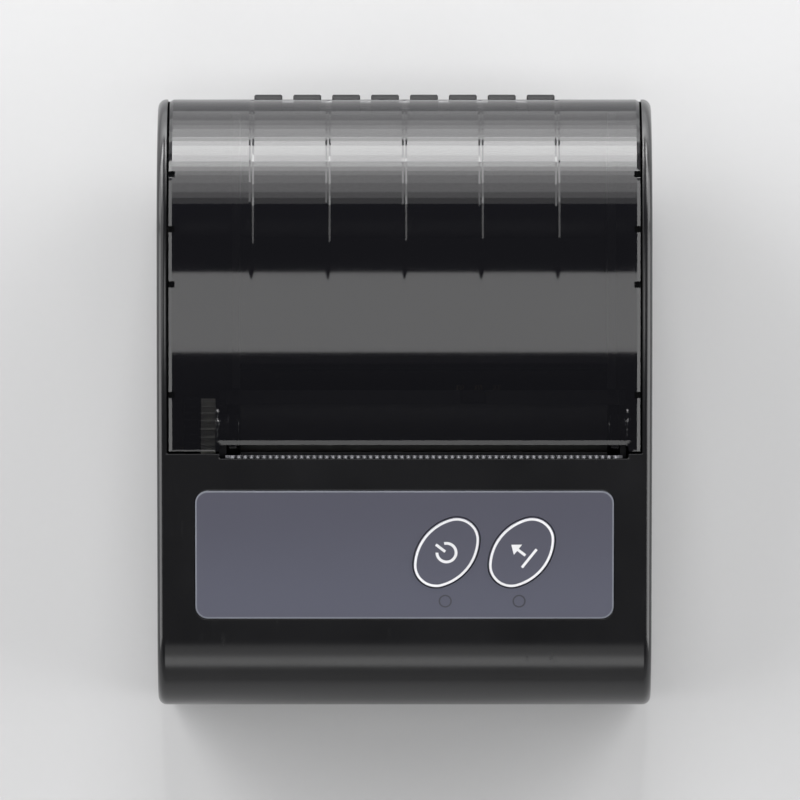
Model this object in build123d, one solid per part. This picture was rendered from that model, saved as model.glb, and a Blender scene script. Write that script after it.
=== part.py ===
from build123d import *

import os
from math import acos, asin, atan2, cos, degrees, hypot, pi, radians, sin, sqrt, tan

# Portable thermal printer for 58 mm paper rolls, lying on its back.
# X is the width, +Y points to the hinge at the rear, +Z is up; the origin is the
# centre of the footprint on the surface it lies on. All sizes in millimetres.

# Overall envelope
LENGTH = 98.0
WIDTH = 79.0
HEIGHT = 44.0
WALL = 1.8
FIN_T = 1.6
CROWN_R = 160.0
NOSE_R = 14.0
TOE_R = 4.0
EDGE_CUT = 1.2
LID_CUT = 0.4
HINGE_OVERHANG = 0.8
SEAM_Y = -8.4

# Gaps between mouldings, and fits
COVER_GAP = 0.3
SEAM_GAP = 0.25
SEAT_GAP = 0.3
RUN_FIT = 0.05
TIGHT_FIT = 0.01

# Hinge
PIN_R = 0.75
KNUCKLE_R = 1.6
KNUCKLES = 8
KNUCKLE_PITCH = 6.25
KNUCKLE_W = 4.5
HINGE_SPAN = 58.6
HINGE_DROP = 2.0
KNUCKLE_GAP = 0.3
END_DROP = 1.3

# Paper path, offset to the right of the gear train
PAPER_W = 58.0
PAPER_SIDE_PLAY = 0.5
PAPER_X = 3.1
SLOT_W = 65.3
SLOT_GAP = 1.6
LIP_SETBACK = 1.1
LIP_CHAMFER = 0.8
ROLL_PLAY = 0.3
CHEEK_SIDES = 16
ARM_H = 12.0
ARM_R = 3.0

# Cover details
GROOVE_PITCH = 12.2
GROOVE_COUNT = 5
GROOVE_W = 0.7
GROOVE_DEPTH = 0.35
GROOVE_END_Y = 6.0
NOTCH_PITCH = 8.8
NOTCH_STEPS = (0, 2, 3, 4)
NOTCH_Y = 0.7
NOTCH_SIZE = 1.0
SKIRT_T = 1.2
SKIRT_DEPTH = 5.0
SKIRT_SETBACK = 0.6

# Platen roller and its bearings
PLATEN_R = 3.8
PLATEN_HEADROOM = 1.1
SHAFT_R = 1.25
BEARING_R = 2.25
EAR_R = 3.2
EAR_T = 1.2
EAR_GAP = 0.4
CLIP_SPACE = 0.5

# Gear train: motor pinion, compound reduction gear, platen gear
MODULE = 0.4
PLATEN_TEETH = 22
SMALL_TEETH = 14
LARGE_TEETH = 32
PINION_TEETH = 10
GEAR_T = 2.3
LAYER_GAP = 0.4
PRESSURE = 20.0
ADDENDUM = 0.9
DEDENDUM = 1.25
ROOT_RELIEF = 0.9
BACKLASH = 0.1
MESH_PLAY = 0.03
MOTOR_ANGLE = 242.0
AXLE_R = 1.0

# Printing mechanism
PLATE_T = 1.2
MOTOR_R = 6.0
MOTOR_L = 15.4
MOTOR_SHAFT_R = 0.75
MOTOR_BOSS_R = 2.4
HEAD_T = 1.8
CERAMIC_T = 0.65
CERAMIC_GAP = 0.05
HEAD_DROP = 7.0
HEAD_RISE = 3.3
PIVOT_DROP = 6.0
PIVOT_R = 0.6
SPRING_W = 6.0
SPRING_T = 0.35
SPRING_RISE = 6.0
SPRING_L = 4.4
SPRING_SPACING = 30.0
GUIDE_GAP = 0.5
BEAM_REAR = 6.1
FOOT_W = 3.6
FOOT_T = 1.2

# Tear bar
BAR_T = 0.5
BAR_H = 2.8
BAR_PROUD = 0.3
TOOTH_PITCH = 1.0
TOOTH_H = 0.7
BAR_END = 1.0

# Keypad overlay, keys and lamps
OVERLAY_W = 66.8
OVERLAY_L = 20.9
OVERLAY_Y = -24.8
OVERLAY_T = 0.5
OVERLAY_PROUD = 0.05
OVERLAY_R = 2.0
KEY_A = 6.55
KEY_B = 4.15
KEY_TILT = 52.0
KEY_Y = -24.4
POWER_X = 6.7
FEED_X = 18.7
KEY_GAP = 0.15
KEY_PROUD = 0.15
KEY_TRAVEL = 0.25
FLANGE_EDGE = 0.6
FLANGE_T = 0.6
FLANGE_W = 4.0
PLUNGER_W = 3.0
LAMP_Y = -32.2
LAMP_W = 1.6
LED_H = 0.8
POWER_LAMP_X = 6.5
FEED_LAMP_X = 18.3

# Main board under the panel
BOARD_DEPTH = 6.5
BOARD_T = 1.2
BOARD_W = 68.0
BOARD_REAR = 6.0
BOARD_FRONT = -17.0
SWITCH_SIZE = 6.0
SWITCH_H = 3.0
BOARD_REST_X = 31.0
USB_W = 7.7
USB_H = 3.9
USB_L = 8.6
USB_V = -7.0

# Battery, its bay and door
BATTERY_W = 45.8
BATTERY_L = 46.8
BATTERY_H = 8.4
BATTERY_CUT = 1.8
BLADE_W = 1.2
BLADE_H = 4.0
BLADE_PITCH = 3.0
BLADE_X = 12.0
BAY_WALL = 1.2
DOOR_W = 50.0
DOOR_LIP_H = 9.0
TONGUE_W = 0.8
TONGUE_T = 0.6
TONGUE_Z = 0.65
GRIP_W = 18.0
GRIP_CUT = 1.0

# Parting line between the case halves
PARTING_DROP = 5.0

# Derived positions
FRONT_Y = -LENGTH / 2
REAR_Y = LENGTH / 2
BARREL_R = HEIGHT / 2
HINGE_Y = REAR_Y - KNUCKLE_R
BARREL_Y = REAR_Y - HINGE_OVERHANG - BARREL_R
HINGE_Z = BARREL_R - HINGE_DROP
PARTING_Z = BARREL_R - PARTING_DROP
HINGE_CLEAR = KNUCKLE_R + KNUCKLE_GAP
CROWN_Z = HEIGHT - CROWN_R
SLOPE = asin((BARREL_Y - SEAM_Y) / CROWN_R)
SEAM_Z = CROWN_Z + CROWN_R * cos(SLOPE)
FIN_X = WIDTH / 2 - FIN_T
COVER_X = FIN_X - COVER_GAP

PLATEN_Y = SEAM_Y + PLATEN_R
PLATEN_GEAR_R = MODULE * PLATEN_TEETH / 2
PLATEN_Z = (
    CROWN_Z
    + sqrt((CROWN_R - WALL) ** 2 - (BARREL_Y - PLATEN_Y) ** 2)
    - PLATEN_HEADROOM
    - PLATEN_GEAR_R
    - MODULE
)
BAY_HALF = PAPER_W / 2 + PAPER_SIDE_PLAY
PAPER_LEFT = PAPER_X - BAY_HALF
PAPER_RIGHT = PAPER_X + BAY_HALF
EAR_LEFT = PAPER_LEFT - EAR_GAP - EAR_T
EAR_RIGHT = PAPER_RIGHT + EAR_GAP
PLATE_LEFT = EAR_LEFT - EAR_GAP - PLATE_T
PLATE_RIGHT = EAR_RIGHT + EAR_T + EAR_GAP / 2
GEAR_RIGHT = PLATE_LEFT - CLIP_SPACE - 0.1
GEAR_LEFT = GEAR_RIGHT - GEAR_T
OUTER_GEAR_RIGHT = GEAR_LEFT - LAYER_GAP
OUTER_GEAR_LEFT = OUTER_GEAR_RIGHT - GEAR_T

# The reduction gear lies on the platen's way out, so the platen gear leaves its
# mesh square to the teeth when the cover opens.
SWING = atan2(PLATEN_Z - HINGE_Z, HINGE_Y - PLATEN_Y)
EXIT_Y = sin(SWING)
EXIT_Z = cos(SWING)
PLATEN_MESH = MODULE * (PLATEN_TEETH + SMALL_TEETH) / 2 + MESH_PLAY
REDUCTION_Y = PLATEN_Y - PLATEN_MESH * EXIT_Y
REDUCTION_Z = PLATEN_Z - PLATEN_MESH * EXIT_Z
MOTOR_MESH = MODULE * (LARGE_TEETH + PINION_TEETH) / 2 + MESH_PLAY
MOTOR_Y = REDUCTION_Y + MOTOR_MESH * cos(radians(MOTOR_ANGLE))
MOTOR_Z = REDUCTION_Z + MOTOR_MESH * sin(radians(MOTOR_ANGLE))

HEAD_FACE_Y = PLATEN_Y - PLATEN_R - CERAMIC_GAP
HEAD_FRONT_Y = HEAD_FACE_Y - CERAMIC_T
HEAD_BACK_Y = HEAD_FRONT_Y - HEAD_T
PIVOT_Y = (HEAD_FRONT_Y + HEAD_BACK_Y) / 2
PIVOT_Z = PLATEN_Z - PIVOT_DROP
BRACKET_Y = HEAD_BACK_Y - SPRING_L

BAY_TOP = WALL + SEAT_GAP + BATTERY_H + SEAT_GAP
BAY_ROOF = BAY_TOP + BAY_WALL
BATTERY_Z = WALL + SEAT_GAP
BATTERY_FRONT = FRONT_Y + WALL + SEAT_GAP
BATTERY_REAR = BATTERY_FRONT + BATTERY_L
BAY_REAR = BATTERY_REAR + SEAT_GAP
BAY_INNER = BATTERY_W / 2 + SEAT_GAP
BAY_OUTER = BAY_INNER + BAY_WALL
BLADES = [BLADE_X + step * BLADE_PITCH for step in (-1, 0, 1)]

PANEL_Z = SEAM_Z - (SEAM_Y - OVERLAY_Y) * tan(SLOPE)
PANEL = Plane(
    origin=(0, OVERLAY_Y, PANEL_Z),
    x_dir=(1, 0, 0),
    z_dir=(0, -sin(SLOPE), cos(SLOPE)),
)
CAP_DEPTH = WALL + SEAT_GAP
SWITCH_TOP = -BOARD_DEPTH + SWITCH_H
FLANGE_BOTTOM = -CAP_DEPTH - FLANGE_T

FEET = [
    (PLATE_LEFT + PLATE_T + FOOT_W / 2, PLATEN_Y + 3.1, 1),
    (PLATE_RIGHT - FOOT_W / 2, PLATEN_Y + 3.1, -1),
    (PLATE_RIGHT - FOOT_W / 2, PLATEN_Y - 8.0, -1),
]


def span(x0, x1, y0, y1, z0, z1):
    """Box given by its limits along each axis."""
    middle = Pos((x0 + x1) / 2, (y0 + y1) / 2, (z0 + z1) / 2)
    return middle * Box(x1 - x0, y1 - y0, z1 - z0)


def rod(x0, x1, y, z, radius):
    """Cylinder along X."""
    return Pos((x0 + x1) / 2, y, z) * Rot(0, 90, 0) * Cylinder(radius, x1 - x0)


def plate(face, x0, x1):
    """Side-view face, drawn in Y and Z, made solid from x0 to x1."""
    solid = extrude(Plane.YZ * face, amount=(x1 - x0) / 2, both=True)
    return Pos((x0 + x1) / 2, 0, 0) * solid


def on_panel(x, y, w=0.0):
    """Place on the sloping panel: x, the y seen from above, and height w above it."""
    return PANEL.location * Pos(x, (y - OVERLAY_Y) / cos(SLOPE), w)


def crown_height(y, inset=0.0):
    """Height of the crown's surface, or of the surface inset below it, at y."""
    radius = CROWN_R - inset
    seam = BARREL_Y - radius * sin(SLOPE)
    if y >= seam:
        return CROWN_Z + sqrt(radius**2 - (BARREL_Y - y) ** 2)
    return CROWN_Z + radius * cos(SLOPE) - (seam - y) * tan(SLOPE)


def side_profile(inset=0.0):
    """Side view of the body, drawn in Y and Z, inset by a constant wall."""
    crown = CROWN_R - inset
    barrel = BARREL_R - inset
    seam = (BARREL_Y - crown * sin(SLOPE), CROWN_Z + crown * cos(SLOPE))
    half = (BARREL_Y - crown * sin(SLOPE / 2), CROWN_Z + crown * cos(SLOPE / 2))
    front = FRONT_Y + inset
    nose = (front, seam[1] - (seam[0] - front) * tan(SLOPE))
    base = (BARREL_Y, inset)
    top = (BARREL_Y, HEIGHT - inset)
    front_line = FilletPolyline(
        base, (front, inset), nose, seam, radius=[max(TOE_R - inset, 0.3), NOSE_R - inset]
    )
    crown_arc = ThreePointArc(seam, half, top)
    barrel_arc = ThreePointArc(top, (BARREL_Y + barrel, BARREL_R), base)
    return make_face(front_line.edges() + crown_arc.edges() + barrel_arc.edges())


def side_block(half_width, y0=FRONT_Y - 1, y1=REAR_Y + 1):
    """Upright block between the body's two flat sides."""
    return span(-half_width, half_width, y0, y1, -1, HEIGHT + 1)


def outer_block():
    """The closed body: side profile across the width, with eased side edges."""
    block = plate(side_profile(), -WIDTH / 2, WIDTH / 2)
    return chamfer(block.faces().filter_by(Axis.X).edges(), EDGE_CUT)


def cavity_block():
    """The space inside the walls."""
    return plate(side_profile(WALL), -FIN_X, FIN_X)


OUTER = outer_block()
CAVITY = cavity_block()
SHELL = OUTER - CAVITY
FAR = 2 * LENGTH


def oval(extra=0.0):
    """Four-arc oval outline of a key, grown by extra all round."""
    diagonal = hypot(KEY_A, KEY_B)
    end_r = (diagonal**2 - (KEY_A - KEY_B) * diagonal) / (2 * KEY_A)
    side_r = (diagonal**2 + (KEY_A - KEY_B) * diagonal) / (2 * KEY_B)
    end_x = KEY_A - end_r
    side_y = side_r - KEY_B
    turn = atan2(side_y, end_x)
    join_x = end_x + (end_r + extra) * cos(turn)
    join_y = (end_r + extra) * sin(turn)
    corners = [(join_x, join_y), (-join_x, join_y), (-join_x, -join_y), (join_x, -join_y)]
    peaks = [(0, KEY_B + extra), (-KEY_A - extra, 0), (0, -KEY_B - extra), (KEY_A + extra, 0)]
    arcs = []
    for index in range(4):
        arcs.append(ThreePointArc(corners[index], peaks[index], corners[(index + 1) % 4]))
    return Rot(0, 0, KEY_TILT) * make_face(arcs)


def lamp(extra=0.0):
    """Section of a light guide, grown by extra all round."""
    return Rectangle(LAMP_W + 2 * extra, LAMP_W + 2 * extra)


def panel_prism(face, x, y, w0, w1):
    """Prism square to the panel, between two heights above it."""
    return on_panel(x, y, w0) * extrude(face, amount=w1 - w0)


def knuckles(parity):
    """Every second hinge knuckle, with the strip of wall that carries it."""
    first = -(KNUCKLES * KNUCKLE_PITCH - KNUCKLE_PITCH + KNUCKLE_W) / 2
    ring = SHELL & span(-FAR, FAR, BARREL_Y, FAR, HINGE_Z - HINGE_CLEAR, HINGE_Z + HINGE_CLEAR)
    half = span(-FAR, FAR, BARREL_Y, FAR, HINGE_Z, HINGE_Z + FAR)
    if parity == 1:
        half = span(-FAR, FAR, BARREL_Y, FAR, HINGE_Z - FAR, HINGE_Z)
    web = ring & half
    solid = None
    for index in range(parity, KNUCKLES, 2):
        x0 = first + index * KNUCKLE_PITCH
        x1 = x0 + KNUCKLE_W
        strip = web & span(x0, x1, -FAR, FAR, -FAR, FAR)
        knuckle = strip + rod(x0, x1, HINGE_Y, HINGE_Z, KNUCKLE_R)
        solid = knuckle if solid is None else solid + knuckle
    return solid


def blade(x, extra=0.0):
    """Battery contact blade, or with extra all round the slot it passes through."""
    half = BLADE_W / 2 + extra
    z = BATTERY_Z + BATTERY_H / 2
    rise = BLADE_H / 2 + extra
    return span(x - half, x + half, BATTERY_REAR, BAY_REAR + BAY_WALL + 1.0, z - rise, z + rise)


def make_lower_case():
    """Base tub with the rear wall, battery bay and hinge knuckles."""
    tub = SHELL & span(-FAR, FAR, -FAR, FAR, -1, PARTING_Z)
    rear = SHELL & side_block(FIN_X)
    knuckle_x = HINGE_SPAN / 2 + KNUCKLE_GAP
    low = PARTING_Z - 0.5
    case = tub + (rear & span(-FAR, FAR, BARREL_Y, FAR, low, HINGE_Z - HINGE_CLEAR))
    case += rear & span(-FAR, -knuckle_x, BARREL_Y, FAR, low, HINGE_Z - END_DROP)
    case += rear & span(knuckle_x, FAR, BARREL_Y, FAR, low, HINGE_Z - END_DROP)
    bay = span(-BAY_OUTER, BAY_OUTER, FRONT_Y + WALL / 2, BAY_REAR + BAY_WALL, WALL / 2, BAY_ROOF)
    bay -= span(-BAY_INNER, BAY_INNER, FRONT_Y, BAY_REAR, 0, BAY_TOP)
    case += bay & OUTER
    for x, y, _ in FEET:
        half = FOOT_W / 2
        case += span(x - half, x + half, y - half, y + half, WALL / 2, BAY_ROOF)
    door_half = DOOR_W / 2 + SEAM_GAP
    door_rear = BAY_REAR + SEAM_GAP
    case -= span(-door_half, door_half, FRONT_Y - 1, door_rear, -1, WALL)
    case -= span(-door_half, door_half, FRONT_Y - 1, FRONT_Y + TOE_R, -1, DOOR_LIP_H + SEAM_GAP)
    cheek_y = FRONT_Y + TOE_R + SEAM_GAP
    case += span(-BAY_OUTER, -BAY_INNER, cheek_y, BAY_REAR, WALL + SEAM_GAP, BAY_ROOF)
    case += span(BAY_INNER, BAY_OUTER, cheek_y, BAY_REAR, WALL + SEAM_GAP, BAY_ROOF)
    for x in BLADES:
        case -= blade(x, TIGHT_FIT)
    groove = TONGUE_W + SEAM_GAP
    play = 0.15
    for side in (-1, 1):
        inner = side * (door_half - 0.1)
        outer = side * (DOOR_W / 2 + groove)
        x0, x1 = sorted((inner, outer))
        case -= span(x0, x1, FRONT_Y - 1, door_rear, TONGUE_Z - play, TONGUE_Z + TONGUE_T + play)
    case += knuckles(1)
    case -= rod(-HINGE_SPAN, HINGE_SPAN, HINGE_Y, HINGE_Z, PIN_R + TIGHT_FIT)
    return case


def make_upper_case():
    """Front panel and side walls that flank the cover."""
    case = SHELL & span(-FAR, FAR, -FAR, FAR, PARTING_Z, FAR)
    case -= side_block(FIN_X, y0=SEAM_Y - SEAM_GAP, y1=FAR)
    slot_x0 = PAPER_X - SLOT_W / 2
    slot_x1 = PAPER_X + SLOT_W / 2
    bar_back = SEAM_Y + LIP_SETBACK - SLOT_GAP - BAR_T
    case -= span(slot_x0, slot_x1, bar_back, 0, PARTING_Z, FAR)
    pocket = RectangleRounded(OVERLAY_W + 0.2, OVERLAY_L + 0.2, OVERLAY_R + 0.1)
    case -= panel_prism(pocket, 0, OVERLAY_Y, -OVERLAY_T + OVERLAY_PROUD, 2.0)
    for x in (POWER_X, FEED_X):
        case -= panel_prism(oval(KEY_GAP), x, KEY_Y, -2 * WALL, 2.0)
    for x in (-BOARD_REST_X, BOARD_REST_X):
        rest = Box(WALL, BOARD_REAR - BOARD_FRONT, BOARD_DEPTH - WALL / 2)
        middle = (BOARD_REAR + BOARD_FRONT) / 2
        case += PANEL.location * Pos(x, middle, -(BOARD_DEPTH + WALL / 2) / 2) * rest
    for x in (POWER_LAMP_X, FEED_LAMP_X):
        case -= panel_prism(lamp(SEAM_GAP), x, LAMP_Y, -2 * WALL, 2.0)
    window = RectangleRounded(USB_W + 0.8, USB_H + 0.8, 0.8)
    port = PANEL.location * Pos(WIDTH / 2, USB_V, -BOARD_DEPTH - BOARD_T - USB_H / 2)
    case -= port * Rot(0, 90, 0) * Rot(0, 0, 90) * Pos(0, 0, -4) * extrude(window, amount=8)
    return case


def make_paper_cover():
    """Lift-up lid: crown and barrel wall, skirts, grooves, paper lip and ears."""
    reach = side_block(COVER_X, y0=SEAM_Y, y1=FAR)
    above = span(-FAR, FAR, SEAM_Y + SEAM_GAP / 2, FAR, HINGE_Z + HINGE_CLEAR, FAR)
    block = plate(side_profile(), -COVER_X, COVER_X)
    block = chamfer(block.faces().filter_by(Axis.X).edges(), LID_CUT)
    shell = (block - CAVITY) & reach
    lid = shell & above
    for side in (-1, 1):
        x0, x1 = sorted((side * (HINGE_SPAN / 2 + KNUCKLE_GAP), side * WIDTH))
        lid += shell & span(x0, x1, BARREL_Y, FAR, HINGE_Z + KNUCKLE_GAP, HINGE_Z + FAR)
    ring = plate(side_profile(WALL - 0.1), -WIDTH, WIDTH) - plate(
        side_profile(WALL + SKIRT_DEPTH), -WIDTH - 1, WIDTH + 1
    )
    outer = COVER_X - SKIRT_SETBACK
    band = side_block(outer) - side_block(outer - SKIRT_T)
    front = SEAM_Y + SEAM_GAP + LIP_SETBACK
    region = span(-FAR, FAR, front, HINGE_Y - KNUCKLE_R - WALL, HINGE_Z + HINGE_CLEAR, FAR)
    lid += ring & band & region
    for step in range(GROOVE_COUNT):
        x = (step - (GROOVE_COUNT - 1) / 2) * GROOVE_PITCH
        strip = span(x - GROOVE_W / 2, x + GROOVE_W / 2, GROOVE_END_Y, FAR, HINGE_Z + HINGE_CLEAR + 2, FAR)
        lid -= strip - plate(side_profile(GROOVE_DEPTH), x - GROOVE_W, x + GROOVE_W)
    slot_x0 = PAPER_X - SLOT_W / 2
    slot_x1 = PAPER_X + SLOT_W / 2
    lip_y = SEAM_Y + LIP_SETBACK
    lid -= span(slot_x0, slot_x1, -FAR, lip_y, 0, FAR)
    lip_z = crown_height(lip_y)
    wedge = make_face(
        Polyline(
            (lip_y - 0.01, lip_z - LIP_CHAMFER),
            (lip_y - 0.01, lip_z + 1),
            (lip_y + LIP_CHAMFER, lip_z + 1),
            (lip_y + LIP_CHAMFER, crown_height(lip_y + LIP_CHAMFER)),
            close=True,
        ).edges()
    )
    lid -= plate(wedge, slot_x0, slot_x1)
    for side in (-1, 1):
        for step in NOTCH_STEPS:
            y = NOTCH_Y + step * NOTCH_PITCH
            x = side * COVER_X
            z = crown_height(y)
            notch = Pos(x, y, z) * Box(2 * NOTCH_SIZE, NOTCH_SIZE, 2 * NOTCH_SIZE)
            lid -= notch
    for x0 in (EAR_LEFT, EAR_RIGHT):
        top = crown_height(PLATEN_Y, WALL / 2)
        face = Pos(PLATEN_Y, PLATEN_Z) * Circle(EAR_R)
        face += Pos(PLATEN_Y, (PLATEN_Z + top) / 2) * Rectangle(2 * EAR_R, top - PLATEN_Z)
        ear = plate(face, x0, x0 + EAR_T) & plate(side_profile(WALL / 2), x0, x0 + EAR_T)
        lid += ear - rod(x0 - 1, x0 + EAR_T + 1, PLATEN_Y, PLATEN_Z, BEARING_R + TIGHT_FIT)
    lid += knuckles(0)
    lid -= rod(-HINGE_SPAN, HINGE_SPAN, HINGE_Y, HINGE_Z, PIN_R + RUN_FIT)
    return lid


def make_roll_bin():
    """Cradle insert: two many-sided cheeks and the curved front wall of the paper well."""
    radius = BARREL_R - WALL - ROLL_PLAY
    top = PLATEN_Z - PLATEN_R + 0.8
    corners = []
    for step in range(CHEEK_SIDES):
        angle = 2 * pi * (step + 0.5) / CHEEK_SIDES
        corners.append((BARREL_Y + radius * cos(angle), BARREL_R + radius * sin(angle)))
    disc = make_face(Polyline(*corners, close=True).edges())
    below = Pos(BARREL_Y - radius, top / 2) * Rectangle(4 * radius, top)
    arm_y0 = PLATEN_Y + BEAM_REAR + SEAT_GAP
    arm = Pos((arm_y0 + BARREL_Y) / 2, top - ARM_H / 2) * Rectangle(BARREL_Y - arm_y0, ARM_H)
    arm = chamfer(arm.vertices().sort_by(Axis.X)[:2], ARM_R)
    face = (disc & below) + arm
    bin_ = None
    wall = Pos(BARREL_Y, BARREL_R) * (Circle(BARREL_R - WALL + 1.2) - Circle(BARREL_R - WALL))
    wall &= Pos(BARREL_Y - LENGTH / 2, (top - 2) / 2) * Rectangle(LENGTH, top - 2)
    for x0 in (PAPER_LEFT - EAR_T, PAPER_RIGHT):
        cheek = plate(face, x0, x0 + EAR_T)
        bin_ = cheek if bin_ is None else bin_ + cheek
    bin_ += plate(wall, PAPER_LEFT - EAR_T, PAPER_RIGHT + EAR_T)
    bin_ &= CAVITY
    sweep = hypot(KNUCKLE_R, HINGE_CLEAR) + KNUCKLE_GAP
    return bin_ - rod(-WIDTH, WIDTH, HINGE_Y, HINGE_Z, sweep)


def involute(angle):
    """Involute function of a pressure angle in radians."""
    return tan(angle) - angle


def gear(teeth, x0, x1, y, z, bore_r, toward):
    """Spur gear on an X axis, with a tooth centred on the direction toward, in degrees.

    Each flank is the chord of its involute, from the base circle or root to the tip.
    """
    pitch_r = MODULE * teeth / 2
    base_r = pitch_r * cos(radians(PRESSURE))
    root_r = pitch_r - DEDENDUM * MODULE
    tip_r = pitch_r + ADDENDUM * MODULE
    pitch_half = pi / (2 * teeth) - BACKLASH / 2 / pitch_r
    base_half = pitch_half + involute(radians(PRESSURE))
    tip_half = base_half - involute(acos(base_r / tip_r))
    start_r = max(root_r, base_r)
    start_half = base_half - involute(acos(base_r / start_r))
    lean = (start_half - tip_half) / (tip_r - start_r)
    root_half = ROOT_RELIEF * (start_half + lean * (start_r - root_r))
    flank = [(root_r, root_half), (tip_r, tip_half)]
    points = []
    for tooth in range(teeth):
        centre = radians(toward) + 2 * pi * tooth / teeth
        for r, a in flank:
            points.append((r * cos(centre - a), r * sin(centre - a)))
        for r, a in reversed(flank):
            points.append((r * cos(centre + a), r * sin(centre + a)))
    face = make_face(Polyline(*points, close=True).edges()) - Circle(bore_r)
    return plate(Pos(y, z) * face, x0, x1)


def make_platen_gear():
    """Platen gear with a tooth pointing at the reduction gear."""
    toward = degrees(atan2(REDUCTION_Z - PLATEN_Z, REDUCTION_Y - PLATEN_Y))
    return gear(PLATEN_TEETH, GEAR_LEFT, GEAR_RIGHT, PLATEN_Y, PLATEN_Z, SHAFT_R, toward)


def make_reduction_gear():
    """Compound gear: small wheel on the platen gear, large one on the pinion."""
    bore = AXLE_R + RUN_FIT
    toward = degrees(atan2(PLATEN_Z - REDUCTION_Z, PLATEN_Y - REDUCTION_Y))
    small = gear(
        SMALL_TEETH, OUTER_GEAR_RIGHT, GEAR_RIGHT, REDUCTION_Y, REDUCTION_Z, bore, toward + 180 / SMALL_TEETH
    )
    large = gear(
        LARGE_TEETH, OUTER_GEAR_LEFT, OUTER_GEAR_RIGHT, REDUCTION_Y, REDUCTION_Z, bore, MOTOR_ANGLE
    )
    return small + large


def make_motor_pinion():
    """Pinion with a tooth space pointing at the large wheel."""
    toward = MOTOR_ANGLE + 180 + 180 / PINION_TEETH
    return gear(
        PINION_TEETH, OUTER_GEAR_LEFT, OUTER_GEAR_RIGHT, MOTOR_Y, MOTOR_Z, MOTOR_SHAFT_R, toward
    )


def make_motor():
    """Stepper motor body with the boss that centres it in the side plate."""
    x0 = PLATE_LEFT + PLATE_T
    body = rod(x0, x0 + MOTOR_L, MOTOR_Y, MOTOR_Z, MOTOR_R)
    return body + rod(PLATE_LEFT, x0, MOTOR_Y, MOTOR_Z, MOTOR_BOSS_R - RUN_FIT)


def make_motor_shaft():
    """Shaft from the motor's boss to the end of the pinion."""
    return rod(OUTER_GEAR_LEFT - 0.2, PLATE_LEFT - RUN_FIT, MOTOR_Y, MOTOR_Z, MOTOR_SHAFT_R)


def make_chassis():
    """Mechanism frame: two side plates, paper guide, spring bracket and feet."""
    top = PLATEN_Z + 3.4
    bracket_top = crown_height(BRACKET_Y - PLATE_T, WALL) - 1.2
    outline = [
        (BRACKET_Y - PLATE_T, BAY_ROOF),
        (PLATEN_Y + 5.1, BAY_ROOF),
        (PLATEN_Y + BEAM_REAR, PLATEN_Z - 5),
        (PLATEN_Y + 4.4, top),
        (PLATEN_Y - 4.4, top),
        (BRACKET_Y - PLATE_T, bracket_top),
    ]
    side = make_face(Polyline(*outline, close=True).edges())
    slot = Pos(PLATEN_Y, PLATEN_Z) * Circle(BEARING_R + 0.1)
    mouth = 9.0
    along = (EXIT_Y, EXIT_Z)
    across = (EXIT_Z, -EXIT_Y)
    corners = []
    for reach, half in ((0, BEARING_R + 0.1), (mouth, BEARING_R + 0.7)):
        for sign in (-1, 1):
            y = PLATEN_Y + reach * along[0] + sign * half * across[0]
            z = PLATEN_Z + reach * along[1] + sign * half * across[1]
            corners.append((y, z))
    corners[2], corners[3] = corners[3], corners[2]
    slot += make_face(Polyline(*corners, close=True).edges())
    side -= slot
    frame = plate(side, PLATE_LEFT, PLATE_LEFT + PLATE_T)
    frame += plate(side, PLATE_RIGHT, PLATE_RIGHT + PLATE_T * 0.8)
    x0 = PLATE_LEFT + PLATE_T / 2
    x1 = PLATE_RIGHT + PLATE_T / 2
    guide_r = PLATEN_R + GUIDE_GAP
    guide = make_face(
        Polyline(
            (PLATEN_Y - guide_r * cos(radians(45)), PLATEN_Z - 7.5),
            (PLATEN_Y - guide_r * cos(radians(45)), PLATEN_Z - guide_r * sin(radians(45))),
            (PLATEN_Y + guide_r * cos(radians(30)), PLATEN_Z - guide_r * sin(radians(30))),
            (PLATEN_Y + BEAM_REAR, PLATEN_Z - 4.2),
            (PLATEN_Y + BEAM_REAR, PLATEN_Z - 7.5),
            close=True,
        ).edges()
    )
    guide -= Pos(PLATEN_Y, PLATEN_Z) * Circle(guide_r)
    ear_space = EAR_R + 0.5
    beam = plate(guide, x0, x1)
    for ear_x in (EAR_LEFT, EAR_RIGHT):
        beam -= rod(ear_x - 0.3, ear_x + EAR_T + 0.3, PLATEN_Y, PLATEN_Z, ear_space)
    frame += beam
    frame += span(x0, x1, BRACKET_Y - PLATE_T, BRACKET_Y, PLATEN_Z - 4, bracket_top - 0.8)
    for x, y, side_sign in FEET:
        plate_x = PLATE_LEFT + PLATE_T / 2 if side_sign > 0 else PLATE_RIGHT + PLATE_T / 2
        fx0, fx1 = sorted((plate_x, x + side_sign * FOOT_W / 2))
        frame += span(fx0, fx1, y - FOOT_W / 2, y + FOOT_W / 2, BAY_ROOF, BAY_ROOF + FOOT_T)
    frame -= rod(PLATE_LEFT - 1, PLATE_LEFT + PLATE_T + 1, MOTOR_Y, MOTOR_Z, MOTOR_BOSS_R)
    notch = PIVOT_R + TIGHT_FIT
    frame -= span(-WIDTH, WIDTH, PIVOT_Y - notch, PIVOT_Y + notch, PIVOT_Z - notch, PIVOT_Z + notch)
    sensor_y = PLATEN_Y + 5.0
    frame -= span(9.0, 13.0, sensor_y - 1.0, sensor_y + 2.0, PLATEN_Z - 5.7, PLATEN_Z)
    return frame


def make_paper_sensor():
    """Reflective sensor set into the guide beam."""
    y = PLATEN_Y + 5.0
    return span(9.0, 13.0, y - 1.0, y + 1.1, PLATEN_Z - 5.7, PLATEN_Z - 4.3)


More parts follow.
